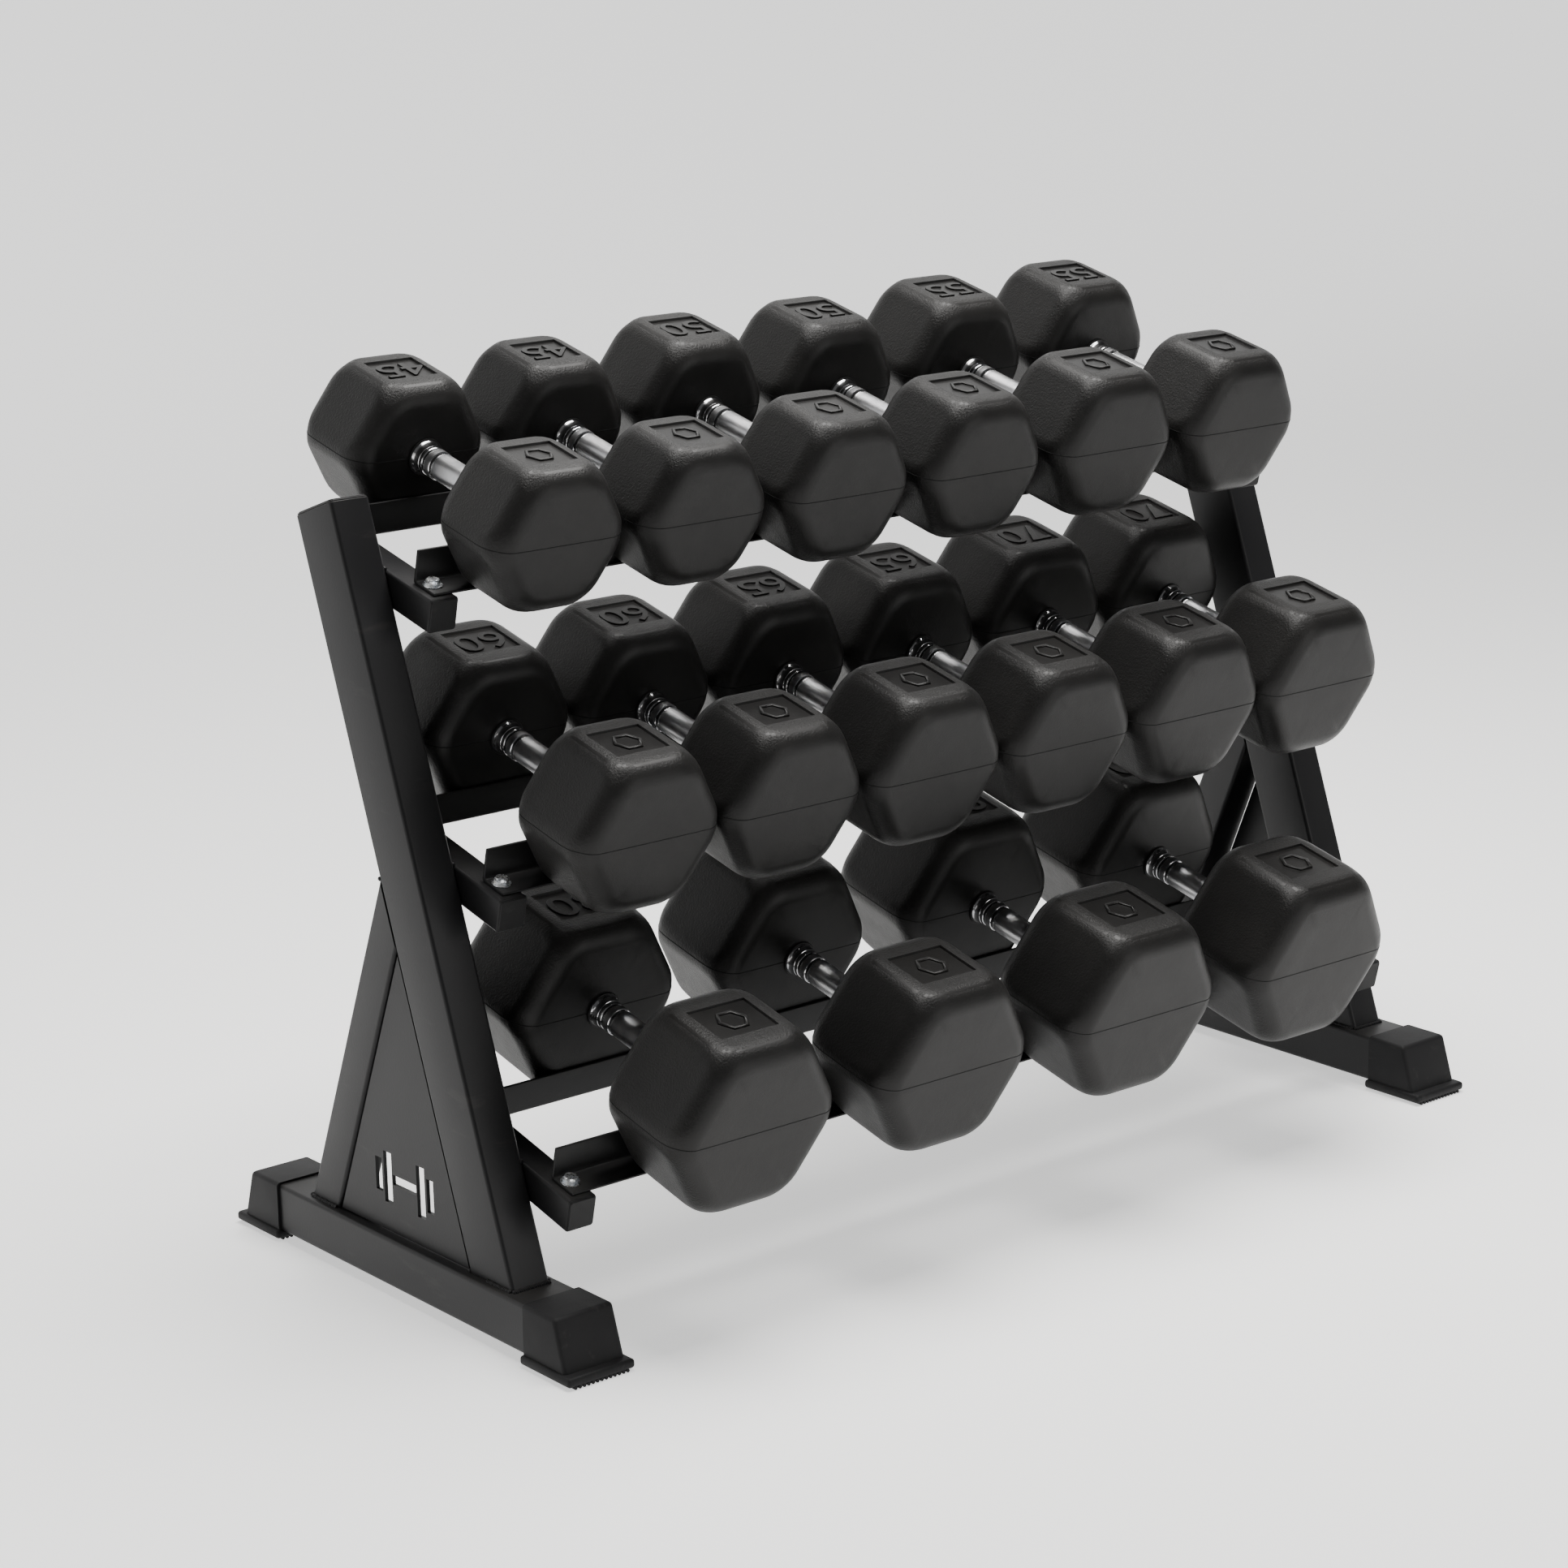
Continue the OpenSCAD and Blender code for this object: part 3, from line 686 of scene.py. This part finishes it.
# ---- Bolts, washers and nuts ----
# Twelve bright zinc-plated hex bolts hold the rails to the arms, each on a plain washer, with
# a nut under the arm.
BOLT_FLATS = 0.013
BOLT_HEAD = 0.0053
NUT_HEIGHT = 0.0065
WASHER_RADIUS = 0.010
WASHER_HEIGHT = 0.0016
SHANK_RADIUS = 0.004
BOLT_INSET = 0.019
THREAD_SPACING = 0.000875
THREAD_ROOT = 0.0035
BOLT_TIP = 0.0030
HEX_SIDES = 48
HEX_EDGE = 0.0008
HEX_TURNED_SHARE = 0.97
WASHER_EDGE = 0.0003


def plated_zinc():
    """Bright zinc plate with a faint blue and yellow cast and soft stains."""
    material, tree, place = new_finish("bright_zinc_plate")
    cast = noise(tree, place, 140.0, 3.0, 0.6)
    stain = noise(tree, place, 330.0, 4.0, 0.65)
    stops = [(0.25, (0.74, 0.80, 0.88)), (0.5, (0.86, 0.88, 0.90)), (0.75, (0.88, 0.86, 0.80))]
    colour = make(tree, "ShaderNodeValToRGB", {"stops": stops}, Fac=cast)["Color"]
    end_finish(tree, Base_Color=colour, Metallic=1.0, Roughness=0.26 + stain.step(0.4, 0.8) * 0.2,
               Normal=bump(tree, stain, 0.00003, 0.6))
    return material


def hex_solid(name, flats, height, chamfer_low, chamfer_high):
    """A hexagonal solid whose corners are turned down at one or both ends."""
    apothem = flats / 2
    points = []
    levels = [(0.0, chamfer_low), (HEX_EDGE, False), (height - HEX_EDGE, False), (height, chamfer_high)]
    for z, turned in levels:
        for k in range(HEX_SIDES):
            angle = 2 * math.pi * k / HEX_SIDES
            nearest = (angle + math.pi / 6) % (math.pi / 3) - math.pi / 6
            radius = apothem / math.cos(nearest)
            if turned:
                radius = min(radius, apothem * HEX_TURNED_SHARE)
            points.append((radius * math.cos(angle), radius * math.sin(angle), z))
    return ringed_solid(name, points, HEX_SIDES, 20.0)


bright_zinc = plated_zinc()
bolt_x = Vector(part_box("rail_washers")[1]).x - WASHER_RADIUS
bolt_backs = (RAIL_SETBACK + BOLT_INSET, REAR_LEG_FRONT + RAIL_LEG - BOLT_INSET)
on_rails = [tiers[tier] + RIGHT * sign * bolt_x + tier_back * back + tier_up * RAIL_WALL
            for tier, count in TIERS for side, sign in SIDES for back in bolt_backs]
under_arms = [spot - tier_up * (RAIL_WALL + ARM_HEIGHT + NUT_HEIGHT) for spot in on_rails]
head_shape = hex_solid("bolt_head", BOLT_FLATS, BOLT_HEAD, False, True)
thread = [(0.0, -BOLT_TIP), (THREAD_ROOT - 0.0001, -BOLT_TIP)]
for k in range(3):
    thread += [(SHANK_RADIUS, -BOLT_TIP + 0.0004 + k * THREAD_SPACING),
               (THREAD_ROOT, -BOLT_TIP + 0.0008 + k * THREAD_SPACING)]
thread += [(SHANK_RADIUS, 0.0002), (0.0, 0.0002)]
bolt_heads = repeat("bolt_heads", head_shape, [spot + tier_up * WASHER_HEIGHT for spot in on_rails],
                    bright_zinc, (TILT, 0.0, 0.0))
bolt_ends = repeat("bolt_ends", turned_shape("thread", thread, 20), under_arms, bright_zinc,
                   (TILT, 0.0, 0.0))
bolt_group = joined("rail_bolts_zinc", [bolt_heads, bolt_ends])
stand_for(bolt_group, "rack", "zinc", bright_zinc, "rail_bolts")
washer_profile = [(0.0, 0.0), (WASHER_RADIUS - WASHER_EDGE, 0.0), (WASHER_RADIUS, WASHER_EDGE),
                  (WASHER_RADIUS, WASHER_HEIGHT - WASHER_EDGE),
                  (WASHER_RADIUS - WASHER_EDGE, WASHER_HEIGHT), (0.0, WASHER_HEIGHT)]
washer_shape = turned_shape("washer", washer_profile, 40)
washer_group = repeat("washers_zinc", washer_shape, on_rails, bright_zinc, (TILT, 0.0, 0.0))
stand_for(washer_group, "rack", "zinc", bright_zinc, "rail_washers")
nut_group = repeat("nuts_zinc", hex_solid("nut", BOLT_FLATS, NUT_HEIGHT, True, True), under_arms,
                   bright_zinc, (TILT, 0.0, 0.0))
stand_for(nut_group, "rack", "zinc", bright_zinc, "rail_nuts")


# ---- Weld beads ----
# Short rippled beads in the corners where the posts and braces stand on the base tubes, where
# the braces meet the posts, and where the arms lie against the posts.
BEAD_RADIUS = 0.0026
RIPPLE_PITCH = 0.0017
BEAD_WAVER = 0.00025
BEAD_IN_CORNER = 0.0004
BEAD_OFF_POST = 0.0008
BEAD_END_GAP = 0.003
BRACE_BEAD_START = 0.004
POST_BEAD_SHARE = 0.55
ARM_BEAD_FROM_TIP = 0.069 / math.cos(TILT) + 0.010
ARM_BEAD_LENGTH = 0.050


def bead_shape():
    """One ripple of a weld: a flattened ball of a few dozen faces."""
    profile = [(0.0, -0.6), (0.62, -0.5), (0.95, -0.15), (0.95, 0.15), (0.62, 0.5), (0.0, 0.6)]
    return turned_shape("ripple", [(r * BEAD_RADIUS, z * BEAD_RADIUS) for r, z in profile], 10)


def bead_run(first, last):
    """Places along a bead, each a little off the line as a hand leaves them."""
    steps = max(2, int((last - first).length / RIPPLE_PITCH))
    places = []
    for k in range(steps + 1):
        waver = Vector((math.sin(k * 1.7), math.sin(k * 2.3 + 1.0), math.sin(k * 1.1 + 2.0))) * BEAD_WAVER
        places.append(first.lerp(last, k / steps) + waver)
    return places


across_beads = []
along_beads = []
for side, sign in SIDES:
    here = side_frames[side]
    base_z = here["base_top"] + BEAD_RADIUS * 0.1
    half = Vector((POST_WIDTH / 2 - 0.001, 0, 0))
    post_run = POST_DEPTH / math.cos(POST_LEAN)
    brace_run = BRACE_DEPTH / math.cos(BRACE_LEAN)
    foot = here["post_foot"]
    rear = here["brace_foot"]
    for y in (foot.y - BEAD_OFF_POST, foot.y + post_run + BEAD_OFF_POST, rear.y + BEAD_OFF_POST):
        spot = Vector((here["x"], y, base_z))
        across_beads += bead_run(spot - half, spot + half)
    for edge in (-1, 1):
        x = here["x"] + edge * (POST_WIDTH / 2 + BEAD_IN_CORNER)
        for first, last in ((foot.y + BEAD_END_GAP, foot.y + post_run * POST_BEAD_SHARE),
                            (rear.y - brace_run + BRACE_BEAD_START, rear.y - BEAD_END_GAP)):
            along_beads += bead_run(Vector((x, first, base_z)), Vector((x, last, base_z)))
    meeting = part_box(f"brace_{side}")[1][2]
    reach = (meeting - here["base_top"]) / math.cos(POST_LEAN)
    spot = foot + post_back * (POST_DEPTH + BEAD_IN_CORNER)
    spot += post_up * (reach + POST_DEPTH * math.tan(POST_LEAN))
    across_beads += bead_run(spot - half, spot + half)
    for tier, count in TIERS:
        arm_top = tiers[tier, side]
        wall = arm_top + Vector((sign * (ARM_WIDTH / 2 - BEAD_IN_CORNER), 0, 0))
        for drop in (-BEAD_IN_CORNER, ARM_HEIGHT + BEAD_IN_CORNER):
            line = wall - tier_up * drop + tier_back * ARM_BEAD_FROM_TIP
            along_beads += bead_run(line, line + tier_back * ARM_BEAD_LENGTH)
across = repeat("beads_across", bead_shape(), across_beads, black_coat, (0.0, math.pi / 2, 0.0))
along = repeat("beads_along", bead_shape(), along_beads, black_coat, (math.pi / 2, 0.0, 0.0))
bead_group = joined("weld_beads", [across, along])
stand_for(bead_group, "rack", "powder_coat", black_coat, "welds")


# ---- Rubber heads ----
# Each dumbbell's two hexagonal heads: cast iron in one thick black rubber coat with very soft
# edges, a fine pebble on the sides, smoother ends and a thin moulding seam at mid height, coloured near
# black as painted shade.
# A sunk pad on top carries the weight at the rear and a plain hexagon at the front.
HEAD_FLATS = (0.148, 0.154, 0.160, 0.163, 0.167, 0.172, 0.184, 0.192)
HEAD_LENGTHS = (0.114, 0.117, 0.119, 0.122, 0.125, 0.127, 0.132, 0.137)
HEAD_ROUND = 0.023
END_CORNER_ROUND = 0.050
HEAD_SIZES = {"top": (0, 0, 1, 1, 2, 2), "middle": (3, 3, 4, 4, 5, 5), "bottom": (6, 6, 7, 7)}
WEIGHTS = (45, 50, 55, 60, 65, 70, 80, 90)
GRIP_LENGTH = 0.130
PAD_SHARE_ACROSS = 0.66
PAD_SHARE_ALONG = 0.42
PAD_DEPTH = 0.0024
PAD_WALL = 0.0006
FIGURE_RISE = 0.0016
FIGURE_SHARE = 0.98
FIGURE_WIDENING = 1.22
FIGURE_EDGE = 0.00022
HEXAGON_SHARE = 0.66
SEAM_WIDTH = 0.0010
SEAM_RISE = 0.00030
SEAM_ROOT = 0.0006
HEAD_CORNER_ANGLES = (0, 10, 20, 30)
HEAD_EDGE_ANGLES = (45, 36, 27, 18, 9, 0)
PAD_COLUMNS = (0.25, 0.5, 0.7, 0.85, 1.0)


def moulded_rubber(name, pebble_height, rough):
    """Black rubber: pebbled on the sides, smooth on the ends, with a little grey bloom."""
    material, tree, place = new_finish(name)
    normal = make(tree, "ShaderNodeTexCoord")["Normal"]
    facing = make(tree, "ShaderNodeVectorMath", {"operation": "DOT_PRODUCT"},
                  Vector=normal, Vector_001=tuple(tier_back))["Value"]
    on_end = abs(facing).step(0.55, 0.90)
    pebble = noise(tree, place, 460.0, 2.0, 0.6)
    grit = noise(tree, place, 1500.0, 2.0, 0.5)
    swirl = noise(tree, place, 42.0, 4.0, 0.6)
    bloom = noise(tree, place, 9.0, 3.0, 0.55).step(0.35, 0.75)
    rubs = noise(tree, make(tree, "ShaderNodeMapping", None, Vector=place,
                            Scale=(9.0, 70.0, 30.0))["Vector"], 1.0, 4.0, 0.6).step(0.66, 0.86)
    worn = bloom * 0.30 + rubs * 0.35
    colour = make(tree, "ShaderNodeMix", {"data_type": "RGBA"}, Factor=worn,
                  A=(0.0095, 0.0092, 0.0090, 1.0), B=(0.024, 0.0228, 0.0212, 1.0))["Result"]
    height = pebble * (on_end * -0.85 + 1.0) + grit * 0.25 + swirl * 0.5
    end_finish(tree, Base_Color=colour, Roughness=swirl * 0.14 + rubs * 0.06 + rough - on_end * 0.05,
               Specular_IOR_Level=0.23, Normal=bump(tree, height, pebble_height, 0.9))
    return material


def head_point(turn, flats, long, side_out, across, along):
    """The point of a soft-edged head nearest to one on the same prism with sharp edges.

    The hexagon's corners are rounder at the two ends of the head than along its sides.
    """
    pad = long * PAD_SHARE_ALONG / 2
    share = max(0.0, (abs(along) - pad) / (long / 2 - pad))
    corner_round = HEAD_ROUND + (END_CORNER_ROUND - HEAD_ROUND) * share * share * (3 - 2 * share)
    inner = flats / 2 - corner_round
    reach = inner * math.tan(math.pi / 6)
    centre = Vector((min(side_out, inner), max(-reach, min(reach, across)), 0.0))
    away = Vector((side_out, across, 0.0)) - centre
    end = long / 2 - HEAD_ROUND
    core = centre + away.normalized() * min(away.length, corner_round - HEAD_ROUND)
    core.z = max(-end, min(end, along))
    push = (Vector((side_out, across, along)) - core).normalized() * HEAD_ROUND
    out, side, y = core + push
    return Vector((out * math.cos(turn) - side * math.sin(turn), y,
                   out * math.sin(turn) + side * math.cos(turn)))


def head_columns(flats):
    """Places across one side of the hexagon, close together in its rounded corners."""
    reach = (flats / 2 - HEAD_ROUND) * math.tan(math.pi / 6)
    pad = flats / math.sqrt(3) * PAD_SHARE_ACROSS / 2
    right = [reach + HEAD_ROUND * math.tan(math.radians(a)) for a in HEAD_CORNER_ANGLES]
    right = sorted(right + [pad * share for share in PAD_COLUMNS] + [pad + PAD_WALL])
    return [-place for place in reversed(right)] + [0.0] + right[:-1], pad


def head_rows(flats, long):
    """Places from one end of the head to the other: (share of the hexagon's size, along)."""
    edge = [HEAD_ROUND * (1 - math.tan(math.radians(a))) for a in HEAD_EDGE_ANGLES]
    pad = long * PAD_SHARE_ALONG / 2
    cap = [(0.30, -long / 2), (0.52, -long / 2)]
    cap += [((flats / 2 - e) / (flats / 2), -long / 2) for e in reversed(edge[1:])]
    side = [(1.0, -long / 2 + e) for e in edge]
    gap = long / 2 - HEAD_ROUND - pad - PAD_WALL
    side += [(1.0, -pad - PAD_WALL - gap * share) for share in (0.75, 0.5, 0.25, 0.0)]
    side += [(1.0, -pad), (1.0, -pad / 3)]
    half = cap + side
    return half + [(share, -y) for share, y in reversed(half)], pad


def head_mesh(name, flats, long):
    """A rubber head: its sides and ends in one closed skin, with the sunk pad on top."""
    columns, pad_across = head_columns(flats)
    rows, pad_along = head_rows(flats, long)
    points = []
    for share, along in rows:
        for side in range(6):
            turn = math.radians(90 + 60 * side)
            for across in columns:
                spot = head_point(turn, flats, long, flats / 2 * share, across * share, along)
                sunk = side == 0 and share == 1.0 and abs(across) <= pad_across and abs(along) <= pad_along
                points.append(spot - Vector((0, 0, PAD_DEPTH)) if sunk else spot)
    ring = len(columns) * 6
    faces = []
    for row in range(len(rows) - 1):
        for k in range(ring):
            nxt = (k + 1) % ring
            faces.append((row * ring + k, (row + 1) * ring + k, (row + 1) * ring + nxt, row * ring + nxt))
    for row, along in ((0, -long / 2), (len(rows) - 1, long / 2)):
        points.append(Vector((0, along, 0)))
        for k in range(ring):
            nxt = (k + 1) % ring
            pair = (row * ring + k, row * ring + nxt) if row == 0 else (row * ring + nxt, row * ring + k)
            faces.append((*pair, len(points) - 1))
    piece = mesh_object(name, points, faces)
    work = bmesh.new()
    work.from_mesh(piece.data)
    bmesh.ops.remove_doubles(work, verts=work.verts, dist=0.00001)
    bmesh.ops.recalc_face_normals(work, faces=work.faces)
    work.to_mesh(piece.data)
    work.free()
    soften(piece, 32.0)
    piece.data.materials.append(rubber)
    piece.data.materials.append(pad_rubber)
    floor = flats / 2 - PAD_DEPTH
    for polygon in piece.data.polygons:
        if abs(polygon.center.z - floor) < PAD_WALL and polygon.normal.z > 0.9:
            polygon.material_index = 1
    return piece


def seam_mesh(flats, long):
    """The thin raised line round a head where the two halves of its mould met."""
    corner = flats / math.sqrt(3)
    path = [(share * corner, along) for share, along in head_rows(flats, long)[0]]
    loop = [(0.0, -long / 2)] + path + [(0.0, long / 2)] + [(-x, y) for x, y in reversed(path)]
    points = []
    for x, along in loop:
        sign = -1 if x < 0 else 1
        turn = math.radians(30 if x >= 0 else 150)
        share = abs(x) / corner
        spot = head_point(turn, flats, long, flats / 2 * share,
                          -sign * flats / 2 * share * math.tan(math.pi / 6), along)
        core = Vector((sign * min(abs(spot.x), corner * 0.6), max(-long / 4, min(long / 4, spot.y)), 0))
        outward = spot - core
        outward.z = 0
        outward.normalize()
        for lift, z in ((-SEAM_ROOT, -SEAM_WIDTH), (SEAM_RISE, -SEAM_WIDTH / 3),
                        (SEAM_RISE, SEAM_WIDTH / 3), (-SEAM_ROOT, SEAM_WIDTH)):
            points.append(Vector((spot.x, spot.y, z)) + outward * lift)
    count = len(loop)
    faces = []
    for row in range(count):
        for k in range(4):
            a, b = row * 4 + k, row * 4 + (k + 1) % 4
            c, d = (row + 1) % count * 4 + (k + 1) % 4, (row + 1) % count * 4 + k
            faces.append((a, d, c, b))
    return mesh_object("seam", points, faces)


def raised_figures(text, height):
    """The weight's figures, raised from the floor of the pad and read from behind."""
    curve = bpy.data.curves.new("figures", "FONT")
    curve.body = text
    curve.size = height
    curve.align_x = "CENTER"
    curve.align_y = "CENTER"
    curve.extrude = FIGURE_RISE / 2
    curve.bevel_depth = FIGURE_EDGE
    curve.bevel_resolution = 1
    curve.resolution_u = 5
    piece = plain_copy("figures", new_object("figures", curve))
    widen = Matrix.Diagonal((FIGURE_WIDENING, 1.0, 1.0, 1.0))
    piece.data.transform(Matrix.Rotation(math.pi, 4, "Z") @ widen)
    return piece


def raised_hexagon(size):
    """A plain raised hexagon outline."""
    points = []
    for share, z in ((1.0, 0.0), (0.97, FIGURE_RISE), (0.78, FIGURE_RISE), (0.75, 0.0)):
        for k in range(6):
            angle = math.radians(60 * k)
            points.append((size / 2 * share * math.cos(angle), size / 2 * share * math.sin(angle), z))
    faces = [(row * 6 + k, row * 6 + (k + 1) % 6, (row + 1) % 4 * 6 + (k + 1) % 6, (row + 1) % 4 * 6 + k)
             for row in range(4) for k in range(6)]
    return mesh_object("hexagon", points, faces)


def basis(right, back, up, origin):
    """The matrix that sets a shape's X, Y and Z along three directions at a place."""
    return Matrix.Translation(origin) @ Matrix((right, back, up)).transposed().to_4x4()


rubber = moulded_rubber("black_moulded_rubber", 0.0006, 0.39)
pad_rubber = moulded_rubber("black_pad_rubber", 0.0001, 0.27)
# the seam is coloured near black, darker than the rubber it is made of: painted shade along the moulding
# seam
painted_shade_seam_rubber = moulded_plastic("rubber_moulding_seam_painted_shade", (0.004, 0.004, 0.004), 0.75)
centres = {}
for tier, count in TIERS:
    for number, size in enumerate(HEAD_SIZES[tier], start=1):
        flats, long = HEAD_FLATS[size], HEAD_LENGTHS[size]
        low, high = (Vector(p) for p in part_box(f"coats_{tier}_{number}"))
        centre = (low + high) / 2
        centres[tier, number] = centre
        parts = []
        for way in (-1, 1):
            place = basis(RIGHT * way, tier_back * way, tier_up,
                          centre + tier_back * way * (GRIP_LENGTH + long) / 2)
            head = head_mesh("head", flats, long)
            seam = seam_mesh(flats, long)
            seam.data.materials.append(painted_shade_seam_rubber)
            pad_depth = long * PAD_SHARE_ALONG
            if way == 1:
                mark = raised_figures(str(WEIGHTS[size]), pad_depth * FIGURE_SHARE)
            else:
                mark = raised_hexagon(pad_depth * HEXAGON_SHARE)
            mark.data.materials.clear()
            mark.data.materials.append(pad_rubber)
            floor = flats / 2 - PAD_DEPTH + (FIGURE_RISE / 2 if way == 1 else 0)
            mark.data.transform(Matrix.Translation((0, 0, floor)))
            for part in (head, seam, mark):
                part.data.transform(place)
                parts.append(part)
        heads = joined(f"rubber_heads_{tier}_{number}", parts)
        stand_for(heads, f"dumbbell_{tier}_{number}", "rubber", rubber, f"coats_{tier}_{number}")


# ---- Handles ----
# A chromed steel handle between the heads: a knurled grip, and at each end a black groove, a
# knurled ring, another black groove and a flared collar against a black ring on the head.
GRIP_RADIUS = 0.0145
GROOVE_RADIUS = 0.013
RING_RADIUS = 0.0155
GRIP_HALF = GRIP_LENGTH / 2 - 0.032
RING_SPAN = (GRIP_LENGTH / 2 - 0.028, GRIP_LENGTH / 2 - 0.020)
KNURL_COLUMNS = 96
KNURL_STEP = 0.00098
KNURL_DEPTH = 0.00042
# turned profiles: radius, and distance from the head
COLLAR_PROFILE = ((0.0, 0.0168), (0.0149, 0.0168), (0.0154, 0.0162), (0.0156, 0.0155), (0.0157, 0.0122),
                  (0.0153, 0.0119), (0.0153, 0.0113), (0.0157, 0.0110), (0.0158, 0.0090),
                  (0.0161, 0.0060), (0.0166, 0.0045), (0.0171, 0.0034), (0.0177, 0.0026),
                  (0.0180, 0.0020), (0.0180, -0.001), (0.0, -0.001))
BLACK_RING_PROFILE = ((0.0, 0.0021), (0.0188, 0.0021), (0.0194, 0.0017), (0.0195, 0.0010),
                      (0.0195, -0.001), (0.0, -0.001))
GROOVE_START = 0.0005
GROOVE_END = 0.0155
GRIP_TURNED_END = 0.002
GRIP_CHAMFER = 0.0011
GRIP_TIP_RADIUS = GROOVE_RADIUS + 0.0005
RING_EDGE = 0.0006
RING_EDGE_DROP = 0.0010
RING_SHOULDER = 0.0008
RING_SHOULDER_DROP = 0.0003


def chrome_plate(name, rough):
    """Bright chrome with fine wear, faint smears and a thin film of dust."""
    material, tree, place = new_finish(name)
    film = noise(tree, place, 60.0, 4.0, 0.6)
    smear = noise(tree, place, 260.0, 3.0, 0.55)
    stops = [(0.3, (0.50, 0.51, 0.53)), (0.55, (0.62, 0.62, 0.63)), (0.8, (0.68, 0.67, 0.66))]
    colour = make(tree, "ShaderNodeValToRGB", {"stops": stops}, Fac=film)["Color"]
    end_finish(tree, Base_Color=colour, Metallic=1.0, Roughness=film * 0.16 + smear * 0.08 + rough,
               Normal=bump(tree, smear, 0.00003, 0.5))
    return material


def knurl_tree():
    """Lifts every second vertex of a sleeve, so that its faces become small pyramids."""
    tree, given = new_tree("knurl", Sleeve="Geometry", Columns="Int", Depth="Float", Finish="Material")
    index = make(tree, "GeometryNodeInputIndex")["Index"]
    row = make(tree, "ShaderNodeMath", {"operation": "FLOOR"}, Value=index / given["Columns"])["Value"]
    column = index - row * given["Columns"]
    high = make(tree, "ShaderNodeMath", {"operation": "MODULO"}, Value=row + column, Value_001=2.0)["Value"]
    spot = make(tree, "GeometryNodeInputPosition")["Position"]
    flat = make(tree, "ShaderNodeVectorMath", {"operation": "MULTIPLY"}, Vector=spot,
                Vector_001=(1.0, 1.0, 0.0))["Vector"]
    out = make(tree, "ShaderNodeVectorMath", {"operation": "NORMALIZE"}, Vector=flat)["Vector"]
    push = make(tree, "ShaderNodeVectorMath", {"operation": "SCALE"}, Vector=out,
                Scale=high * given["Depth"] - given["Depth"])["Vector"]
    cut = make(tree, "GeometryNodeSetPosition", None, Geometry=given["Sleeve"], Offset=push)["Geometry"]
    return end_tree(tree, cut, given["Finish"])


def sleeve(name, radius, first, last):
    """An open tube with a vertex at every peak and valley of the knurl."""
    rows = round((last - first) / KNURL_STEP) + 1
    points = []
    for row in range(rows):
        z = first + (last - first) * row / (rows - 1)
        for k in range(KNURL_COLUMNS):
            angle = 2 * math.pi * k / KNURL_COLUMNS
            points.append((radius * math.cos(angle), radius * math.sin(angle), z))
    faces = []
    for row in range(rows - 1):
        for k in range(KNURL_COLUMNS):
            nxt = (k + 1) % KNURL_COLUMNS
            a, b = row * KNURL_COLUMNS + k, row * KNURL_COLUMNS + nxt
            c, d = a + KNURL_COLUMNS, b + KNURL_COLUMNS
            if (row + k) % 2:
                faces += [(a, b, c), (b, d, c)]
            else:
                faces += [(a, b, d), (a, d, c)]
    return mesh_object(name, points, faces)


chrome = chrome_plate("chromed_steel", 0.06)
knurled_chrome = chrome_plate("knurled_chrome", 0.20)
groove_black = moulded_plastic("black_groove_lacquer", (0.012, 0.012, 0.012), 0.4)
knurl = knurl_tree()
half = GRIP_LENGTH / 2
handle_parts = [grown("grip_knurl", knurl, sleeve("sleeve", GRIP_RADIUS, -GRIP_HALF, GRIP_HALF),
                      Columns=KNURL_COLUMNS, Depth=KNURL_DEPTH, Finish=knurled_chrome)]
for way in (-1, 1):
    near, far = sorted((way * RING_SPAN[0], way * RING_SPAN[1]))
    handle_parts.append(grown("ring_knurl", knurl, sleeve("sleeve", RING_RADIUS, near, far),
                              Columns=KNURL_COLUMNS, Depth=KNURL_DEPTH, Finish=knurled_chrome))
    # the turned parts, each closed by itself: radius and distance from the middle
    grip_edge, grip_tip = GRIP_HALF - GRIP_TURNED_END, GRIP_HALF + GRIP_CHAMFER
    grip_end = [(0.0, grip_edge), (GRIP_RADIUS - KNURL_DEPTH, grip_edge),
                (GRIP_RADIUS - KNURL_DEPTH / 2, GRIP_HALF), (GRIP_TIP_RADIUS, grip_tip), (0.0, grip_tip)]
    groove = [(0.0, GRIP_HALF + GROOVE_START), (GROOVE_RADIUS, GRIP_HALF + GROOVE_START),
              (GROOVE_RADIUS, half - GROOVE_END), (0.0, half - GROOVE_END)]
    low_rim, high_rim = RING_SPAN[0] - RING_EDGE, RING_SPAN[1] + RING_EDGE
    shoulder, valley = RING_RADIUS - RING_SHOULDER_DROP, RING_RADIUS - KNURL_DEPTH
    ring = [(0.0, low_rim), (RING_RADIUS - RING_EDGE_DROP, low_rim), (shoulder, RING_SPAN[0]),
            (valley, RING_SPAN[0] + RING_SHOULDER), (valley, RING_SPAN[1] - RING_SHOULDER),
            (shoulder, RING_SPAN[1]), (RING_RADIUS - RING_EDGE_DROP, high_rim), (0.0, high_rim)]
    collar = [(radius, half - gap) for radius, gap in COLLAR_PROFILE]
    black_ring = [(radius, half - gap) for radius, gap in BLACK_RING_PROFILE]
    for profile, finish in ((grip_end, chrome), (groove, groove_black), (ring, chrome), (collar, chrome),
                            (black_ring, groove_black)):
        turned_part = turned_shape("turned", profile, 64)
        if way < 0:
            turned_part.data.transform(Matrix.Rotation(math.pi, 4, "X"))
        turned_part.data.materials.append(finish)
        handle_parts.append(turned_part)
handle_pattern = joined("handle_pattern", handle_parts)
for tier, count in TIERS:
    for number in range(1, count + 1):
        handle = handle_pattern.copy()
        handle.data = handle_pattern.data.copy()
        handle.name = f"handle_{tier}_{number}"
        bpy.context.scene.collection.objects.link(handle)
        handle.data.transform(basis(RIGHT, -tier_up, tier_back, centres[tier, number]))
        stand_for(handle, f"dumbbell_{tier}_{number}", "chromed_bar", chrome, f"bar_{tier}_{number}")
bpy.data.objects.remove(handle_pattern)
